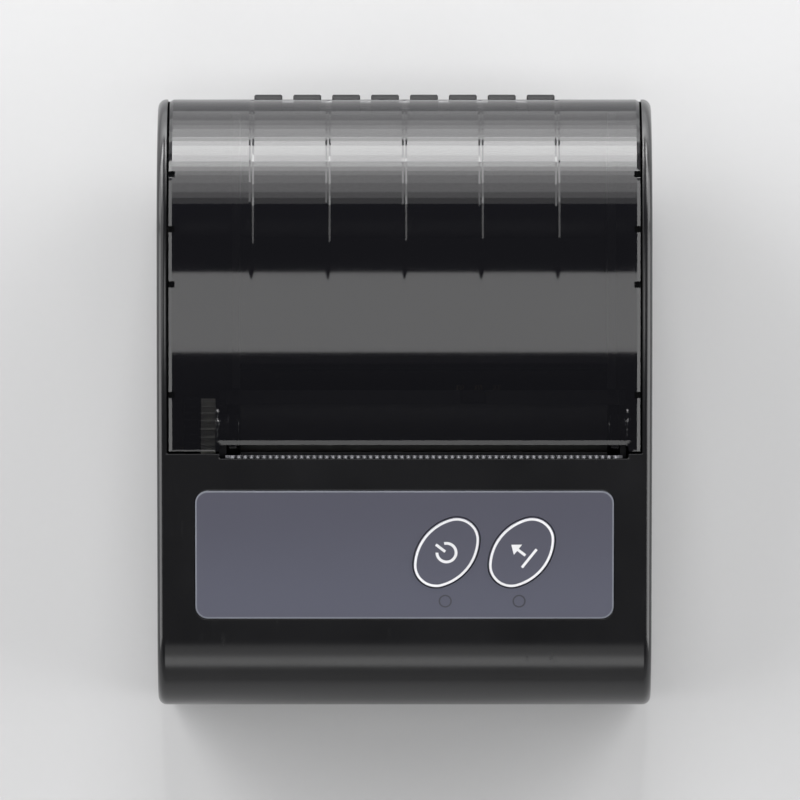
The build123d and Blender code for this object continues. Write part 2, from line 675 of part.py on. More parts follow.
def make_head_plate():
    """Aluminium carrier of the heating element, hinged at its foot."""
    x0 = PAPER_LEFT + 0.2
    x1 = PAPER_RIGHT - 0.2
    body = span(x0, x1, HEAD_BACK_Y, HEAD_FRONT_Y, PLATEN_Z - HEAD_DROP, PLATEN_Z + HEAD_RISE)
    return body - rod(x0 - 1, x1 + 1, PIVOT_Y, PIVOT_Z, PIVOT_R + RUN_FIT)


def make_head_ceramic():
    """Ceramic strip with its raised heating line."""
    x0 = PAPER_LEFT + 0.9
    x1 = PAPER_RIGHT - 0.9
    base = span(x0, x1, HEAD_FRONT_Y, HEAD_FACE_Y - 0.1, PLATEN_Z - 3.4, PLATEN_Z + HEAD_RISE - 0.2)
    line = span(x0, x1, HEAD_FACE_Y - 0.1, HEAD_FACE_Y, PLATEN_Z - 0.4, PLATEN_Z + 0.4)
    return base + line


def make_head_springs():
    """Two bowed leaf springs that press the head against the platen."""
    half = SPRING_RISE / 2
    tip = SPRING_RISE / 8
    slack = half - 2 * SPRING_T
    inner_y = HEAD_BACK_Y - SPRING_T
    outer = [(BRACKET_Y, -half), (HEAD_BACK_Y, -tip), (HEAD_BACK_Y, tip), (BRACKET_Y, half)]
    inner = [(BRACKET_Y, slack), (inner_y, tip / 2), (inner_y, -tip / 2), (BRACKET_Y, -slack)]
    face = Pos(0, PLATEN_Z) * make_face(Polyline(*outer, *inner, close=True).edges())
    solid = None
    for sign in (-1, 1):
        x = PAPER_X + sign * SPRING_SPACING / 2
        leaf = plate(face, x - SPRING_W / 2, x + SPRING_W / 2)
        solid = leaf if solid is None else solid + leaf
    return solid


def make_head_pivot():
    """Steel rod through both side plates and the head carrier."""
    return rod(PLATE_LEFT - 0.2, PLATE_RIGHT + PLATE_T * 0.8 + 0.1, PIVOT_Y, PIVOT_Z, PIVOT_R)


def make_tear_bar():
    """Serrated steel strip at the front of the paper slot."""
    x0 = PAPER_X - SLOT_W / 2 + BAR_END
    x1 = PAPER_X + SLOT_W / 2 - BAR_END
    back = SEAM_Y + LIP_SETBACK - SLOT_GAP - BAR_T
    top = crown_height(back) + BAR_PROUD
    count = int((x1 - x0 - TOOTH_PITCH) / TOOTH_PITCH)
    start = (x0 + x1) / 2 - count * TOOTH_PITCH / 2
    points = [(x0, top - BAR_H), (x0, top - TOOTH_H)]
    for tooth in range(count):
        points.append((start + tooth * TOOTH_PITCH, top - TOOTH_H))
        points.append((start + (tooth + 0.5) * TOOTH_PITCH, top))
    points.append((start + count * TOOTH_PITCH, top - TOOTH_H))
    points += [(x1, top - TOOTH_H), (x1, top - BAR_H)]
    face = Plane.XZ * make_face(Polyline(*points, close=True).edges())
    return Pos(0, back, 0) * extrude(face, amount=BAR_T, dir=(0, 1, 0))


def make_platen_shaft():
    """Steel shaft of the platen roller."""
    return rod(GEAR_LEFT - 0.2, PLATE_RIGHT + PLATE_T * 0.8 + 0.1, PLATEN_Y, PLATEN_Z, SHAFT_R)


def make_platen_rubber():
    """Rubber sleeve that drives the paper."""
    sleeve = rod(PAPER_LEFT, PAPER_RIGHT, PLATEN_Y, PLATEN_Z, PLATEN_R)
    return sleeve - rod(PAPER_LEFT - 1, PAPER_RIGHT + 1, PLATEN_Y, PLATEN_Z, SHAFT_R)


def make_bearings():
    """Plain bushings held in the cover's ears, which drop into the side plates."""
    right_end = PLATE_RIGHT + PLATE_T * 0.8
    solid = None
    for x0, x1 in ((PLATE_LEFT + 0.05, PAPER_LEFT - 0.15), (PAPER_RIGHT + 0.15, right_end)):
        bush = rod(x0, x1, PLATEN_Y, PLATEN_Z, BEARING_R)
        bush -= rod(x0 - 1, x1 + 1, PLATEN_Y, PLATEN_Z, SHAFT_R + RUN_FIT)
        solid = bush if solid is None else solid + bush
    return solid


def make_overlay():
    """Flat keypad overlay with openings for the keys."""
    face = RectangleRounded(OVERLAY_W, OVERLAY_L, OVERLAY_R)
    sheet = panel_prism(face, 0, OVERLAY_Y, -OVERLAY_T + OVERLAY_PROUD, OVERLAY_PROUD)
    for x in (POWER_X, FEED_X):
        sheet -= panel_prism(oval(KEY_GAP), x, KEY_Y, -2.0, 2.0)
    return sheet


def make_key(x):
    """Oval key cap on a plain flange that keeps it under the case."""
    cap = panel_prism(oval(), x, KEY_Y, -CAP_DEPTH, OVERLAY_PROUD + KEY_PROUD)
    flange = Rot(0, 0, KEY_TILT) * Rectangle(2 * (KEY_A + FLANGE_EDGE), FLANGE_W)
    return cap + panel_prism(flange, x, KEY_Y, FLANGE_BOTTOM, -CAP_DEPTH)


def make_plunger(x):
    """Square plunger of the switch under a key."""
    bottom = SWITCH_TOP + KEY_TRAVEL + RUN_FIT
    return panel_prism(Rectangle(PLUNGER_W, PLUNGER_W), x, KEY_Y, bottom, FLANGE_BOTTOM)


def make_switches():
    """Square bodies of the two tactile switches on the board."""
    solid = None
    for x in (POWER_X, FEED_X):
        body = panel_prism(Rectangle(SWITCH_SIZE, SWITCH_SIZE), x, KEY_Y, -BOARD_DEPTH, SWITCH_TOP)
        solid = body if solid is None else solid + body
    return solid


def make_lamp_windows():
    """Clear light guides from the lamps to the overlay's printed windows."""
    solid = None
    for x in (POWER_LAMP_X, FEED_LAMP_X):
        guide = panel_prism(lamp(), x, LAMP_Y, -BOARD_DEPTH + LED_H + 0.2, OVERLAY_PROUD - OVERLAY_T)
        solid = guide if solid is None else solid + guide
    return solid


def make_status_leds():
    """Light-emitting chips below the light guides."""
    solid = None
    for x in (POWER_LAMP_X, FEED_LAMP_X):
        chip = panel_prism(Rectangle(2.0, 1.25), x, LAMP_Y, -BOARD_DEPTH, -BOARD_DEPTH + LED_H)
        solid = chip if solid is None else solid + chip
    return solid


def make_board():
    """Main circuit board, parallel to the panel."""
    middle = (BOARD_REAR + BOARD_FRONT) / 2
    place = PANEL.location * Pos(0, middle, -BOARD_DEPTH - BOARD_T / 2)
    return place * Box(BOARD_W, BOARD_REAR - BOARD_FRONT, BOARD_T)


def below_board(x, v, width, length, height):
    """Component hanging under the board."""
    return PANEL.location * Pos(x, v, -BOARD_DEPTH - BOARD_T - height / 2) * Box(width, length, height)


def make_board_chips():
    """Larger packages on the underside of the board."""
    chips = below_board(-12, -6, 9, 9, 1.2) + below_board(4, -9, 6, 5, 1.0)
    return chips + below_board(16, -5, 4, 6, 1.6)


def make_radio_module():
    """Shielded wireless module at the board's left."""
    return below_board(-24, -5.5, 12, 11, 1.8)


def make_capacitors():
    """Two moulded bulk capacitors under the board."""
    return below_board(25.0, -3.0, 4.3, 7.3, 2.8) + below_board(25.0, -11.5, 4.3, 7.3, 2.8)


def make_usb_socket():
    """Metal socket shell under the board's right edge, open to the side."""
    place = PANEL.location * Pos(WIDTH / 2 - 0.9 - USB_L / 2, USB_V, -BOARD_DEPTH - BOARD_T - USB_H / 2)
    shell = Box(USB_L, USB_W, USB_H) - Pos(0.5, 0, 0) * Box(USB_L, USB_W - 0.8, USB_H - 0.8)
    tongue = Pos(-0.6, 0, 0.3) * Box(USB_L - 1.2, USB_W - 3.0, 0.9)
    return place * (shell + tongue)


def make_battery():
    """Flat two-cell pack with eased edges."""
    pack = span(
        -BATTERY_W / 2, BATTERY_W / 2, BATTERY_FRONT, BATTERY_REAR, BATTERY_Z, BATTERY_Z + BATTERY_H
    )
    rims = pack.edges().filter_by(Axis.Z, reverse=True)
    return chamfer(rims, BATTERY_CUT)


def make_battery_contacts():
    """Three contact blades through the rear wall of the bay."""
    solid = None
    for x in BLADES:
        solid = blade(x) if solid is None else solid + blade(x)
    return solid


def make_battery_door():
    """Door that wraps the front edge of the base and slides off forward."""
    half = DOOR_W / 2
    door = SHELL & span(-half, half, FRONT_Y - 1, BAY_REAR, -1, DOOR_LIP_H)
    for side in (-1, 1):
        x0, x1 = sorted((side * (half - 0.2), side * (half + TONGUE_W)))
        door += span(x0, x1, FRONT_Y + TOE_R, BAY_REAR, TONGUE_Z, TONGUE_Z + TONGUE_T)
    for step in range(3):
        y = FRONT_Y + 10.0 + 2.4 * step
        door -= Pos(0, y, 0) * Box(GRIP_W, GRIP_CUT, GRIP_CUT)
    return door


def make_hinge_pin():
    """Steel pin through all the knuckles."""
    half = (KNUCKLES * KNUCKLE_PITCH - KNUCKLE_PITCH + KNUCKLE_W) / 2
    return rod(-half, half, HINGE_Y, HINGE_Z, PIN_R)


def make_reduction_axle():
    """Fixed stub axle of the reduction gear, seated on the side plate."""
    return rod(OUTER_GEAR_LEFT - 0.2, PLATE_LEFT, REDUCTION_Y, REDUCTION_Z, AXLE_R)


PARTS = {
    "lower_case": make_lower_case,
    "upper_case": make_upper_case,
    "roll_bin": make_roll_bin,
    "tear_bar": make_tear_bar,
    "keypad_overlay": make_overlay,
    "lamp_windows": make_lamp_windows,
    "status_leds": make_status_leds,
    "main_board": make_board,
    "board_chips": make_board_chips,
    "radio_module": make_radio_module,
    "bulk_capacitors": make_capacitors,
    "usb_socket": make_usb_socket,
    "tactile_switches": make_switches,
    "battery_pack": make_battery,
    "battery_contacts": make_battery_contacts,
    "hinge_pin": make_hinge_pin,
    "mechanism_frame": make_chassis,
    "paper_sensor": make_paper_sensor,
    "stepper_motor": make_motor,
    "reduction_axle": make_reduction_axle,
    "head_pivot_rod": make_head_pivot,
    "head_springs": make_head_springs,
    "head_carrier": make_head_plate,
    "head_ceramic": make_head_ceramic,
    "paper_cover": make_paper_cover,
    "platen_bearings": make_bearings,
    "platen_shaft": make_platen_shaft,
    "platen_rubber": make_platen_rubber,
    "platen_gear": make_platen_gear,
    "reduction_gear": make_reduction_gear,
    "motor_shaft": make_motor_shaft,
    "motor_pinion": make_motor_pinion,
    "power_key": lambda: make_key(POWER_X),
    "power_plunger": lambda: make_plunger(POWER_X),
    "feed_key": lambda: make_key(FEED_X),
    "feed_plunger": lambda: make_plunger(FEED_X),
    "battery_door": make_battery_door,
}

os.makedirs("parts", exist_ok=True)
for name, make in PARTS.items():
    export_step(make(), f"parts/{name}.step")
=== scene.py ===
"""Portable thermal printer lying on its back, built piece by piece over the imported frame."""

import logging
import math
from dataclasses import dataclass
from enum import Enum
from typing import Callable, Dict, List, Mapping, Optional, Sequence, Tuple, Union

import bpy
from mathutils import Matrix, Vector


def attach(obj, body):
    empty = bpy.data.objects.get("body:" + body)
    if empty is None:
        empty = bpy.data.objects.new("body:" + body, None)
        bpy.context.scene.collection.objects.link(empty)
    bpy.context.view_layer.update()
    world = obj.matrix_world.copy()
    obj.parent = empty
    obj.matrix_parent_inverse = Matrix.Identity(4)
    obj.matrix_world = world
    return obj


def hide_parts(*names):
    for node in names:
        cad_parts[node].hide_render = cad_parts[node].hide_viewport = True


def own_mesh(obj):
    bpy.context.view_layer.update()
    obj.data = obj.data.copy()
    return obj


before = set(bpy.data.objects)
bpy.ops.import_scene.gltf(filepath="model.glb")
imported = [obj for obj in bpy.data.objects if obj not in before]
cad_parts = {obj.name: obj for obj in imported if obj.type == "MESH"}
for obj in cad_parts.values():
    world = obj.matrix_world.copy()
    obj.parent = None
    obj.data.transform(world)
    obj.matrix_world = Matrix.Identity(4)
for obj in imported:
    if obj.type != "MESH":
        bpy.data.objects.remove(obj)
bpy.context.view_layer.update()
LOG = logging.getLogger("printer")
MM = 0.001
Point = Sequence[float]
Colour = Tuple[float, float, float]
Piece = bpy.types.Object
Profile = List[Tuple[float, float]]
FAR = 60.0  # reach of helper blocks past the printer, in millimetres
FLAT = 0.2  # faces within this many degrees of each other become one
NODE_WELD, PEN_WELD = 1.5e-6, 1e-6  # doubled points lie closer than this, in metres
BARREL_STEPS, CROWN_STEPS, NOSE_STEPS, TOE_STEPS = 120, 40, 36, 12  # of the side outline


# Sizes shared by the sub-assemblies


@dataclass(frozen=True)
class Plan:
    """Driving sizes that several sub-assemblies share, in millimetres, with angles in degrees."""

    width: float = 79.0
    length: float = 98.0
    height: float = 44.0
    wall: float = 1.8
    fin: float = 1.6
    crown_r: float = 160.0
    nose_r: float = 14.0
    toe_r: float = 4.0
    overhang: float = 0.8
    seam_y: float = -8.4
    seam_gap: float = 0.25
    cover_gap: float = 0.3
    parting_z: float = 17.0
    knuckle_r: float = 1.6
    knuckle_w: float = 4.5
    knuckle_pitch: float = 6.25
    knuckles: int = 8
    hinge_end: float = 29.6
    hinge_z: float = 20.0
    slot_left: float = -29.55
    slot_right: float = 35.75
    lip_y: float = -7.3
    overlay_y: float = -24.8
    key_y: float = -24.4
    key_tilt: float = 52.0
    key_half: Tuple[float, float] = (6.32, 4.5)
    power_x: float = 6.7
    feed_x: float = 18.7
    lamps_x: Tuple[float, float] = (6.5, 18.3)
    lamps_y: float = -32.2
    cover_front: float = -8.275
    paper_left: float = -26.4
    paper_right: float = 32.6
    platen_y: float = -4.6
    platen_z: float = 33.273
    board_depth: float = 6.5
    board_t: float = 1.2
    feet: Tuple[Tuple[float, float], ...] = ((-26.6, -1.5), (32.6, -1.5), (32.6, -12.6))

    @property
    def front(self) -> float:
        """Y of the front face."""
        return -self.length / 2

    @property
    def barrel_r(self) -> float:
        """Radius of the round rear end."""
        return self.height / 2

    @property
    def barrel_y(self) -> float:
        """Y of the round rear end's axis."""
        return self.length / 2 - self.overhang - self.barrel_r

    @property
    def hinge_y(self) -> float:
        """Y of the hinge pin."""
        return self.length / 2 - self.knuckle_r

    @property
    def crown_z(self) -> float:
        """Z of the crown's centre of curvature."""
        return self.height - self.crown_r

    @property
    def slope(self) -> float:
        """Slope of the front panel, in radians."""
        return math.asin((self.barrel_y - self.seam_y) / self.crown_r)

    @property
    def fin_x(self) -> float:
        """Half width inside the side walls."""
        return self.width / 2 - self.fin

    @property
    def cover_x(self) -> float:
        """Half width of the paper cover."""
        return self.fin_x - self.cover_gap

    @property
    def first_knuckle(self) -> float:
        """Left end of the first hinge knuckle."""
        return -((self.knuckles - 1) * self.knuckle_pitch + self.knuckle_w) / 2

    def surface_z(self, y: float, inset: float = 0.0) -> float:
        """Height of the front panel and the crown at y.

        Args:
            y: Position along the printer.
            inset: Distance inside the outer surface.

        Returns:
            The height, in millimetres.
        """
        radius = self.crown_r - inset
        seam = self.barrel_y - radius * math.sin(self.slope)
        if y >= seam:
            return self.crown_z + math.sqrt(radius**2 - (self.barrel_y - y) ** 2)
        return self.crown_z + radius * math.cos(self.slope) - (seam - y) * math.tan(self.slope)

    def top_z(self, y: float) -> float:
        """Height of the top surface at y, round rear end included.

        Args:
            y: Position along the printer.

        Returns:
            The height, in millimetres.
        """
        if y <= self.barrel_y:
            return self.surface_z(y)
        return self.barrel_r + math.sqrt(self.barrel_r**2 - (y - self.barrel_y) ** 2)

    def panel(self, x: float, y: float) -> Matrix:
        """Place on the sloping panel, straight above a point of the ground plan."""
        return self.panel_frame(x, (y - self.overlay_y) / math.cos(self.slope), 0.0)

    def panel_frame(self, x: float, along: float, rise: float) -> Matrix:
        """Place on or over the sloping panel, with Z square to the panel.

        Args:
            x: Position across the width.
            along: Distance up the slope from the overlay's middle.
            rise: Height above the panel's surface.

        Returns:
            The matrix that carries a piece drawn flat round the origin to that place.
        """
        turn = Matrix.Rotation(self.slope, 4, "X")
        origin = Vector((0.0, self.overlay_y, self.surface_z(self.overlay_y)))
        offset = turn.to_3x3() @ Vector((x, along, rise))
        return Matrix.Translation((origin + offset) * MM) @ turn

    def key_place(self, x: float) -> Matrix:
        """Place of a key, turned along its long axis."""
        return self.panel(x, self.key_y) @ rotation(self.key_tilt, "Z")


PLAN = Plan()


# Modelling moves


def metres(point: Point) -> Vector:
    """A point in millimetres as a vector in metres."""
    return Vector(point) * MM


def shift(x: float, y: float, z: float) -> Matrix:
    """Matrix that moves a piece by millimetres."""
    return Matrix.Translation(metres((x, y, z)))


def rotation(angle: float, axis: str) -> Matrix:
    """Matrix that turns a piece by degrees about an axis."""
    return Matrix.Rotation(math.radians(angle), 4, axis)


def upright(x: float, y: float, z: float) -> Matrix:
    """Matrix that stands a piece turned about X on its end at a point."""
    return shift(x, y, z) @ rotation(-90, "Y")


HINGE_AXIS = shift(0, PLAN.hinge_y, PLAN.hinge_z)
PLATEN_AXIS = shift(0, PLAN.platen_y, PLAN.platen_z)
BARREL_AXIS = shift(0, PLAN.barrel_y, PLAN.barrel_r)


def both_sides(inner: float, outer: float) -> List[Tuple[float, float]]:
    """Spans of X between two distances from the middle, on the left and on the right."""
    return [(-outer, -inner), (inner, outer)]


def clear() -> None:
    """Leaves edit mode and deselects everything."""
    if bpy.context.object and bpy.context.object.mode != "OBJECT":
        bpy.ops.object.mode_set(mode="OBJECT")
    bpy.ops.object.select_all(action="DESELECT")


def pick(piece: Piece) -> Piece:
    """Makes one piece the selected and active one.

    Args:
        piece: The piece.

    Returns:
        The piece.
    """
    clear()
    piece.select_set(True)
    bpy.context.view_layer.objects.active = piece
    return piece


def label(piece: Piece, name: str) -> Piece:
    """Names an object and its mesh."""
    piece.name = piece.data.name = name
    return piece


def settle(piece: Piece) -> Piece:
    """Moves the object's place into its mesh, so that it sits at the origin.

    Args:
        piece: The piece.

    Returns:
        The piece.
    """
    pick(piece)
    bpy.ops.object.transform_apply(location=True, rotation=True, scale=True)
    return piece


def place(piece: Piece, matrix: Matrix) -> Piece:
    """Carries a piece to a place and settles it there."""
    piece.matrix_world = matrix @ piece.matrix_world
    return settle(piece)


def block(name: str, low: Point, high: Point) -> Piece:
    """Rectangular block between two corners in millimetres.

    Args:
        name: Name of the piece.
        low: Its left, front, lower corner.
        high: Its right, rear, upper corner.

    Returns:
        The block.
    """
    clear()
    low_m, high_m = metres(low), metres(high)
    bpy.ops.mesh.primitive_cube_add(size=1.0, location=(low_m + high_m) / 2, scale=high_m - low_m)
    return label(settle(bpy.context.object), name)


def drop(piece: Piece) -> None:
    """Removes a helper piece."""
    bpy.data.objects.remove(piece, do_unlink=True)


def unselect(piece: Piece) -> None:
    """Clears a mesh's selection, which edit mode would take over."""
    for part in (piece.data.polygons, piece.data.edges, piece.data.vertices):
        part.foreach_set("select", [False] * len(part))


def sideways(polygon: bpy.types.MeshPolygon) -> bool:
    """Whether a face looks to the left or right."""
    return abs(polygon.normal.x) > 0.9


def open_faces(piece: Piece, test: Callable[[bpy.types.MeshPolygon], bool]) -> None:
    """Opens a piece for editing with some faces selected.

    Args:
        piece: The piece.
        test: Whether a face is selected.
    """
    unselect(piece)
    for polygon in piece.data.polygons:
        polygon.select = test(polygon)
    bpy.context.tool_settings.mesh_select_mode = (False, False, True)
    pick(piece)
    bpy.ops.object.mode_set(mode="EDIT")


def finish_with(piece: Piece, kind: str, **settings: object) -> Piece:
    """Adds a modifier with these settings and applies it.

    Args:
        piece: The piece.
        kind: The modifier's type.
        settings: Its settings.

    Returns:
        The piece.
    """
    pick(piece)
    modifier = piece.modifiers.new(kind.title(), kind)
    for key, value in settings.items():
        setattr(modifier, key, value)
    bpy.ops.object.modifier_apply(modifier=modifier.name)
    return piece


def combine(piece: Piece, tool: Piece, operation: str) -> Piece:
    """Boolean of a piece with a tool, which is used up.

    Args:
        piece: The piece.
        tool: The tool.
        operation: DIFFERENCE, UNION or INTERSECT.

    Returns:
        The piece.
    """
    finish_with(piece, "BOOLEAN", operation=operation, object=tool, solver="EXACT")
    drop(tool)
    return piece


def cut(piece: Piece, *tools: Piece) -> Piece:
    """Cuts the tools out of a piece.

    Args:
        piece: The piece.
        tools: What is cut out, in this order.

    Returns:
        The piece.
    """
    for tool in tools:
        combine(piece, tool, "DIFFERENCE")
    return piece


def fuse(piece: Piece, *tools: Piece) -> Piece:
    """Fuses the tools to a piece.

    Args:
        piece: The piece.
        tools: What is added, in this order.

    Returns:
        The piece.
    """
    for tool in tools:
        combine(piece, tool, "UNION")
    return piece


def common(piece: Piece, tool: Piece) -> Piece:
    """Keeps what a piece shares with the tool."""
    return combine(piece, tool, "INTERSECT")


def twin(piece: Piece, name: str, matrix: Optional[Matrix] = None) -> Piece:
    """Copies a piece with its mesh.

    Args:
        piece: The piece.
        name: Name of the copy.
        matrix: What moves the copy.

    Returns:
        The copy.
    """
    copy = piece.copy()
    copy.data = piece.data.copy()
    bpy.context.collection.objects.link(label(copy, name))
    return place(copy, matrix) if matrix else copy


def join(name: str, pieces: Sequence[Piece]) -> Piece:
    """Joins loose pieces into one object.

    Args:
        name: Name of the object.
        pieces: The pieces; the first one stays.

    Returns:
        The joined object.
    """
    clear()
    for piece in pieces:
        piece.select_set(True)
    bpy.context.view_layer.objects.active = pieces[0]
    bpy.ops.object.join()
    return label(pieces[0], name)


def merge(piece: Piece, flat: float = 0.0) -> Piece:
    """Merges doubled points, and faces that lie flat to each other.

    Args:
        piece: The piece.
        flat: Largest angle between faces that become one, in degrees; 0 keeps all.

    Returns:
        The piece.
    """
    pick(piece)
    bpy.ops.object.mode_set(mode="EDIT")
    bpy.ops.mesh.select_all(action="SELECT")
    bpy.ops.mesh.remove_doubles(threshold=NODE_WELD)
    if flat:
        bpy.ops.mesh.dissolve_limited(angle_limit=math.radians(flat))
    bpy.ops.object.mode_set(mode="OBJECT")
    return piece


def ease(
    piece: Piece, width: float, segments: int = 2, angle: float = 30.0, clamp: bool = True
) -> Piece:
    """Rounds a piece's sharp edges.

    Args:
        piece: The piece.
        width: Width of the rounding, in millimetres.
        segments: Steps of the rounding.
        angle: Edges sharper than this are rounded, in degrees.
        clamp: Whether the width shrinks where edges lie close together.

    Returns:
        The piece.
    """
    return finish_with(
        piece, "BEVEL", width=width * MM, segments=segments, limit_method="ANGLE",
        angle_limit=math.radians(angle), use_clamp_overlap=clamp,
    )


def smooth(piece: Piece, angle: float = 30.0) -> Piece:
    """Smooth shading except across edges sharper than angle, ruled by the larger faces.

    Args:
        piece: The piece.
        angle: Edges sharper than this stay sharp, in degrees.

    Returns:
        The piece.
    """
    pick(piece)
    bpy.ops.object.shade_smooth_by_angle(angle=math.radians(angle))
    return finish_with(piece, "WEIGHTED_NORMAL", mode="FACE_AREA", weight=80, keep_sharp=True)


def slice_across(piece: Piece, cuts: Sequence[float]) -> Piece:
    """Adds edge loops where planes square to X meet a piece.

    Args:
        piece: The piece.
        cuts: X of each plane, in millimetres.

    Returns:
        The piece.
    """
    pick(piece)
    bpy.ops.object.mode_set(mode="EDIT")
    for x in cuts:
        bpy.ops.mesh.select_all(action="SELECT")
        bpy.ops.mesh.bisect(plane_co=(x * MM, 0, 0), plane_no=(1, 0, 0))
    bpy.ops.object.mode_set(mode="OBJECT")
    return piece


def node_copy(node: str, name: str) -> Piece:
    """A merged copy of a CAD node's mesh, ready to be finished.

    Args:
        node: Name of the node.
        name: Name of the copy.

    Returns:
        The copy, without materials.
    """
    copy = label(bpy.data.objects.new(name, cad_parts[node].data.copy()), name)
    copy.data.materials.clear()
    bpy.context.collection.objects.link(copy)
    pick(copy)
    bpy.ops.mesh.customdata_custom_splitnormals_clear()
    return merge(copy, FLAT)


class Pen:
    """Draws an outline from lines and arcs in edit mode, and makes a solid of it."""

    def __init__(self, name: str, start: Point, axis: Point = (0, 0, 1)) -> None:
        """Starts with one point.

        Args:
            name: Name of the piece.
            start: First point, in millimetres.
            axis: Axis that the arcs turn about.
        """
        clear()
        bpy.ops.mesh.primitive_plane_add(size=1.0, location=(0, 0, 0))
        self.piece = label(bpy.context.object, name)
        self.axis = axis
        bpy.ops.object.mode_set(mode="EDIT")
        bpy.ops.mesh.select_mode(type="VERT")
        bpy.ops.mesh.select_all(action="SELECT")
        bpy.ops.mesh.merge(type="CENTER")
        bpy.ops.transform.translate(value=metres(start))

    def line(self, *step: float) -> "Pen":
        """Goes on by a straight line, given as a step in millimetres."""
        bpy.ops.mesh.extrude_vertices_move(TRANSFORM_OT_translate={"value": metres(step)})
        return self

    def arc(self, centre: Point, angle: float, steps: int) -> "Pen":
        """Goes on by an arc about a centre, through an angle in radians."""
        bpy.ops.mesh.spin(steps=steps, angle=-angle, center=metres(centre), axis=self.axis)
        return self

    def pull(self, *step: float) -> Piece:
        """Fills the outline and pulls it into a solid along a step in millimetres.

        Args:
            step: The way from the outline to its copy.

        Returns:
            The solid.
        """
        bpy.ops.mesh.select_all(action="SELECT")
        bpy.ops.mesh.remove_doubles(threshold=PEN_WELD)
        bpy.ops.mesh.edge_face_add()
        bpy.ops.mesh.extrude_region_move(TRANSFORM_OT_translate={"value": metres(step)})
        bpy.ops.mesh.select_all(action="SELECT")
        bpy.ops.mesh.normals_make_consistent(inside=False)
        bpy.ops.object.mode_set(mode="OBJECT")
        return self.piece

    def turn(self, sides: int) -> Piece:
        """Turns the outline once round the X axis.

        Args:
            sides: Number of steps round.

        Returns:
            The solid.
        """
        bpy.ops.mesh.select_all(action="SELECT")
        bpy.ops.mesh.spin(steps=sides, angle=2 * math.pi, center=(0, 0, 0), axis=(1, 0, 0))
        bpy.ops.mesh.select_all(action="SELECT")
        bpy.ops.mesh.remove_doubles(threshold=PEN_WELD)
        bpy.ops.mesh.normals_make_consistent(inside=False)
        bpy.ops.object.mode_set(mode="OBJECT")
        return self.piece


def turned(name: str, profile: Profile, matrix: Matrix, sides: int = 64) -> Piece:
    """A piece turned on the lathe.

    Args:
        name: Name of the piece.
        profile: Points (distance along, radius) in millimetres. It closes on the axis if it
            starts and ends at radius 0, and else on itself, as a ring.
        matrix: Place of the piece, whose axis is X.
        sides: Number of steps round.

    Returns:
        The piece, shaded smooth except at its corners.
    """
    pen = Pen(name, (profile[0][0], 0, profile[0][1]), (1, 0, 0))
    points = list(profile)
    if profile[0][1] > 0:
        points.append(profile[0])
    for (along, radius), (next_along, next_radius) in zip(points, points[1:]):
        pen.line(next_along - along, 0, next_radius - radius)
    return smooth(place(pen.turn(sides), matrix))


def tube(x0: float, x1: float, inner: float, outer: float, edge: float = 0.1) -> Profile:
    """Lathe profile of a tube with chamfered outer edges."""
    start = [(x0, inner), (x0, outer - edge), (x0 + edge, outer)]
    return start + [(x1 - edge, outer), (x1, outer - edge), (x1, inner)]


def bar(x0: float, x1: float, radius: float, edge: float = 0.1) -> Profile:
    """Lathe profile of a round bar with chamfered ends."""
    return tube(x0, x1, 0, radius, edge)


def side_outline(name: str, inset: float, half: float, rim: float = 0.0) -> Piece:
    """The printer's side outline, inset by a wall, as a solid across the width.

    Args:
        name: Name of the piece.
        inset: Distance inside the outer surface.
        half: Half of its width.
        rim: Rounding of the two side rims.

    Returns:
        The solid.
    """
    plan = PLAN
    front, base = plan.front + inset, inset
    crown = plan.crown_r - inset
    nose, toe = plan.nose_r - inset, max(plan.toe_r - inset, 0.3)
    seam_y = plan.barrel_y - crown * math.sin(plan.slope)
    seam_z = plan.crown_z + crown * math.cos(plan.slope)
    corner_z = seam_z - (seam_y - front) * math.tan(plan.slope)
    turn = math.pi / 2 - plan.slope
    reach = nose * math.tan(turn / 2)
    start_y = front + reach * math.cos(plan.slope)
    start_z = corner_z + reach * math.sin(plan.slope)
    pen = Pen(name, (-half, plan.barrel_y, base), (1, 0, 0))
    pen.arc((-half, plan.barrel_y, plan.barrel_r), math.pi, BARREL_STEPS)
    pen.arc((-half, plan.barrel_y, plan.crown_z), plan.slope, CROWN_STEPS)
    pen.line(0, start_y - seam_y, start_z - seam_z)
    pen.arc((-half, front + nose, corner_z - reach), turn, NOSE_STEPS)
    pen.line(0, 0, base + toe - (corner_z - reach))
    pen.arc((-half, front + toe, base + toe), math.pi / 2, TOE_STEPS)
    pen.line(0, plan.barrel_y - front - toe, 0)
    piece = pen.pull(2 * half, 0, 0)
    if rim:
        open_faces(piece, sideways)
        bpy.ops.mesh.region_to_loop()
        bpy.ops.mesh.bevel(offset=rim * MM, segments=8, affect="EDGES", clamp_overlap=False)
        bpy.ops.object.mode_set(mode="OBJECT")
    return piece


def oval(name: str, grow: float, low: float, high: float) -> Piece:
    """Four-arc oval of a key, lying flat round the origin.

    Args:
        name: Name of the piece.
        grow: Distance outside the key's outline.
        low: Lower height.
        high: Upper height.

    Returns:
        The solid, its long axis along X.
    """
    a, b = PLAN.key_half
    steps = 24
    diagonal = math.hypot(a, b)
    end_r = (diagonal**2 - (a - b) * diagonal) / (2 * a)
    side_r = (diagonal**2 + (a - b) * diagonal) / (2 * b)
    turn = math.atan2(side_r - b, a - end_r)
    reach = end_r + grow
    pen = Pen(name, (a - end_r + reach * math.cos(turn), reach * math.sin(turn), low))
    pen.arc((0, b - side_r, low), math.pi - 2 * turn, steps)
    pen.arc((end_r - a, 0, low), 2 * turn, steps)
    pen.arc((0, side_r - b, low), math.pi - 2 * turn, steps)
    pen.arc((a - end_r, 0, low), 2 * turn, steps)
    return pen.pull(0, 0, high - low)


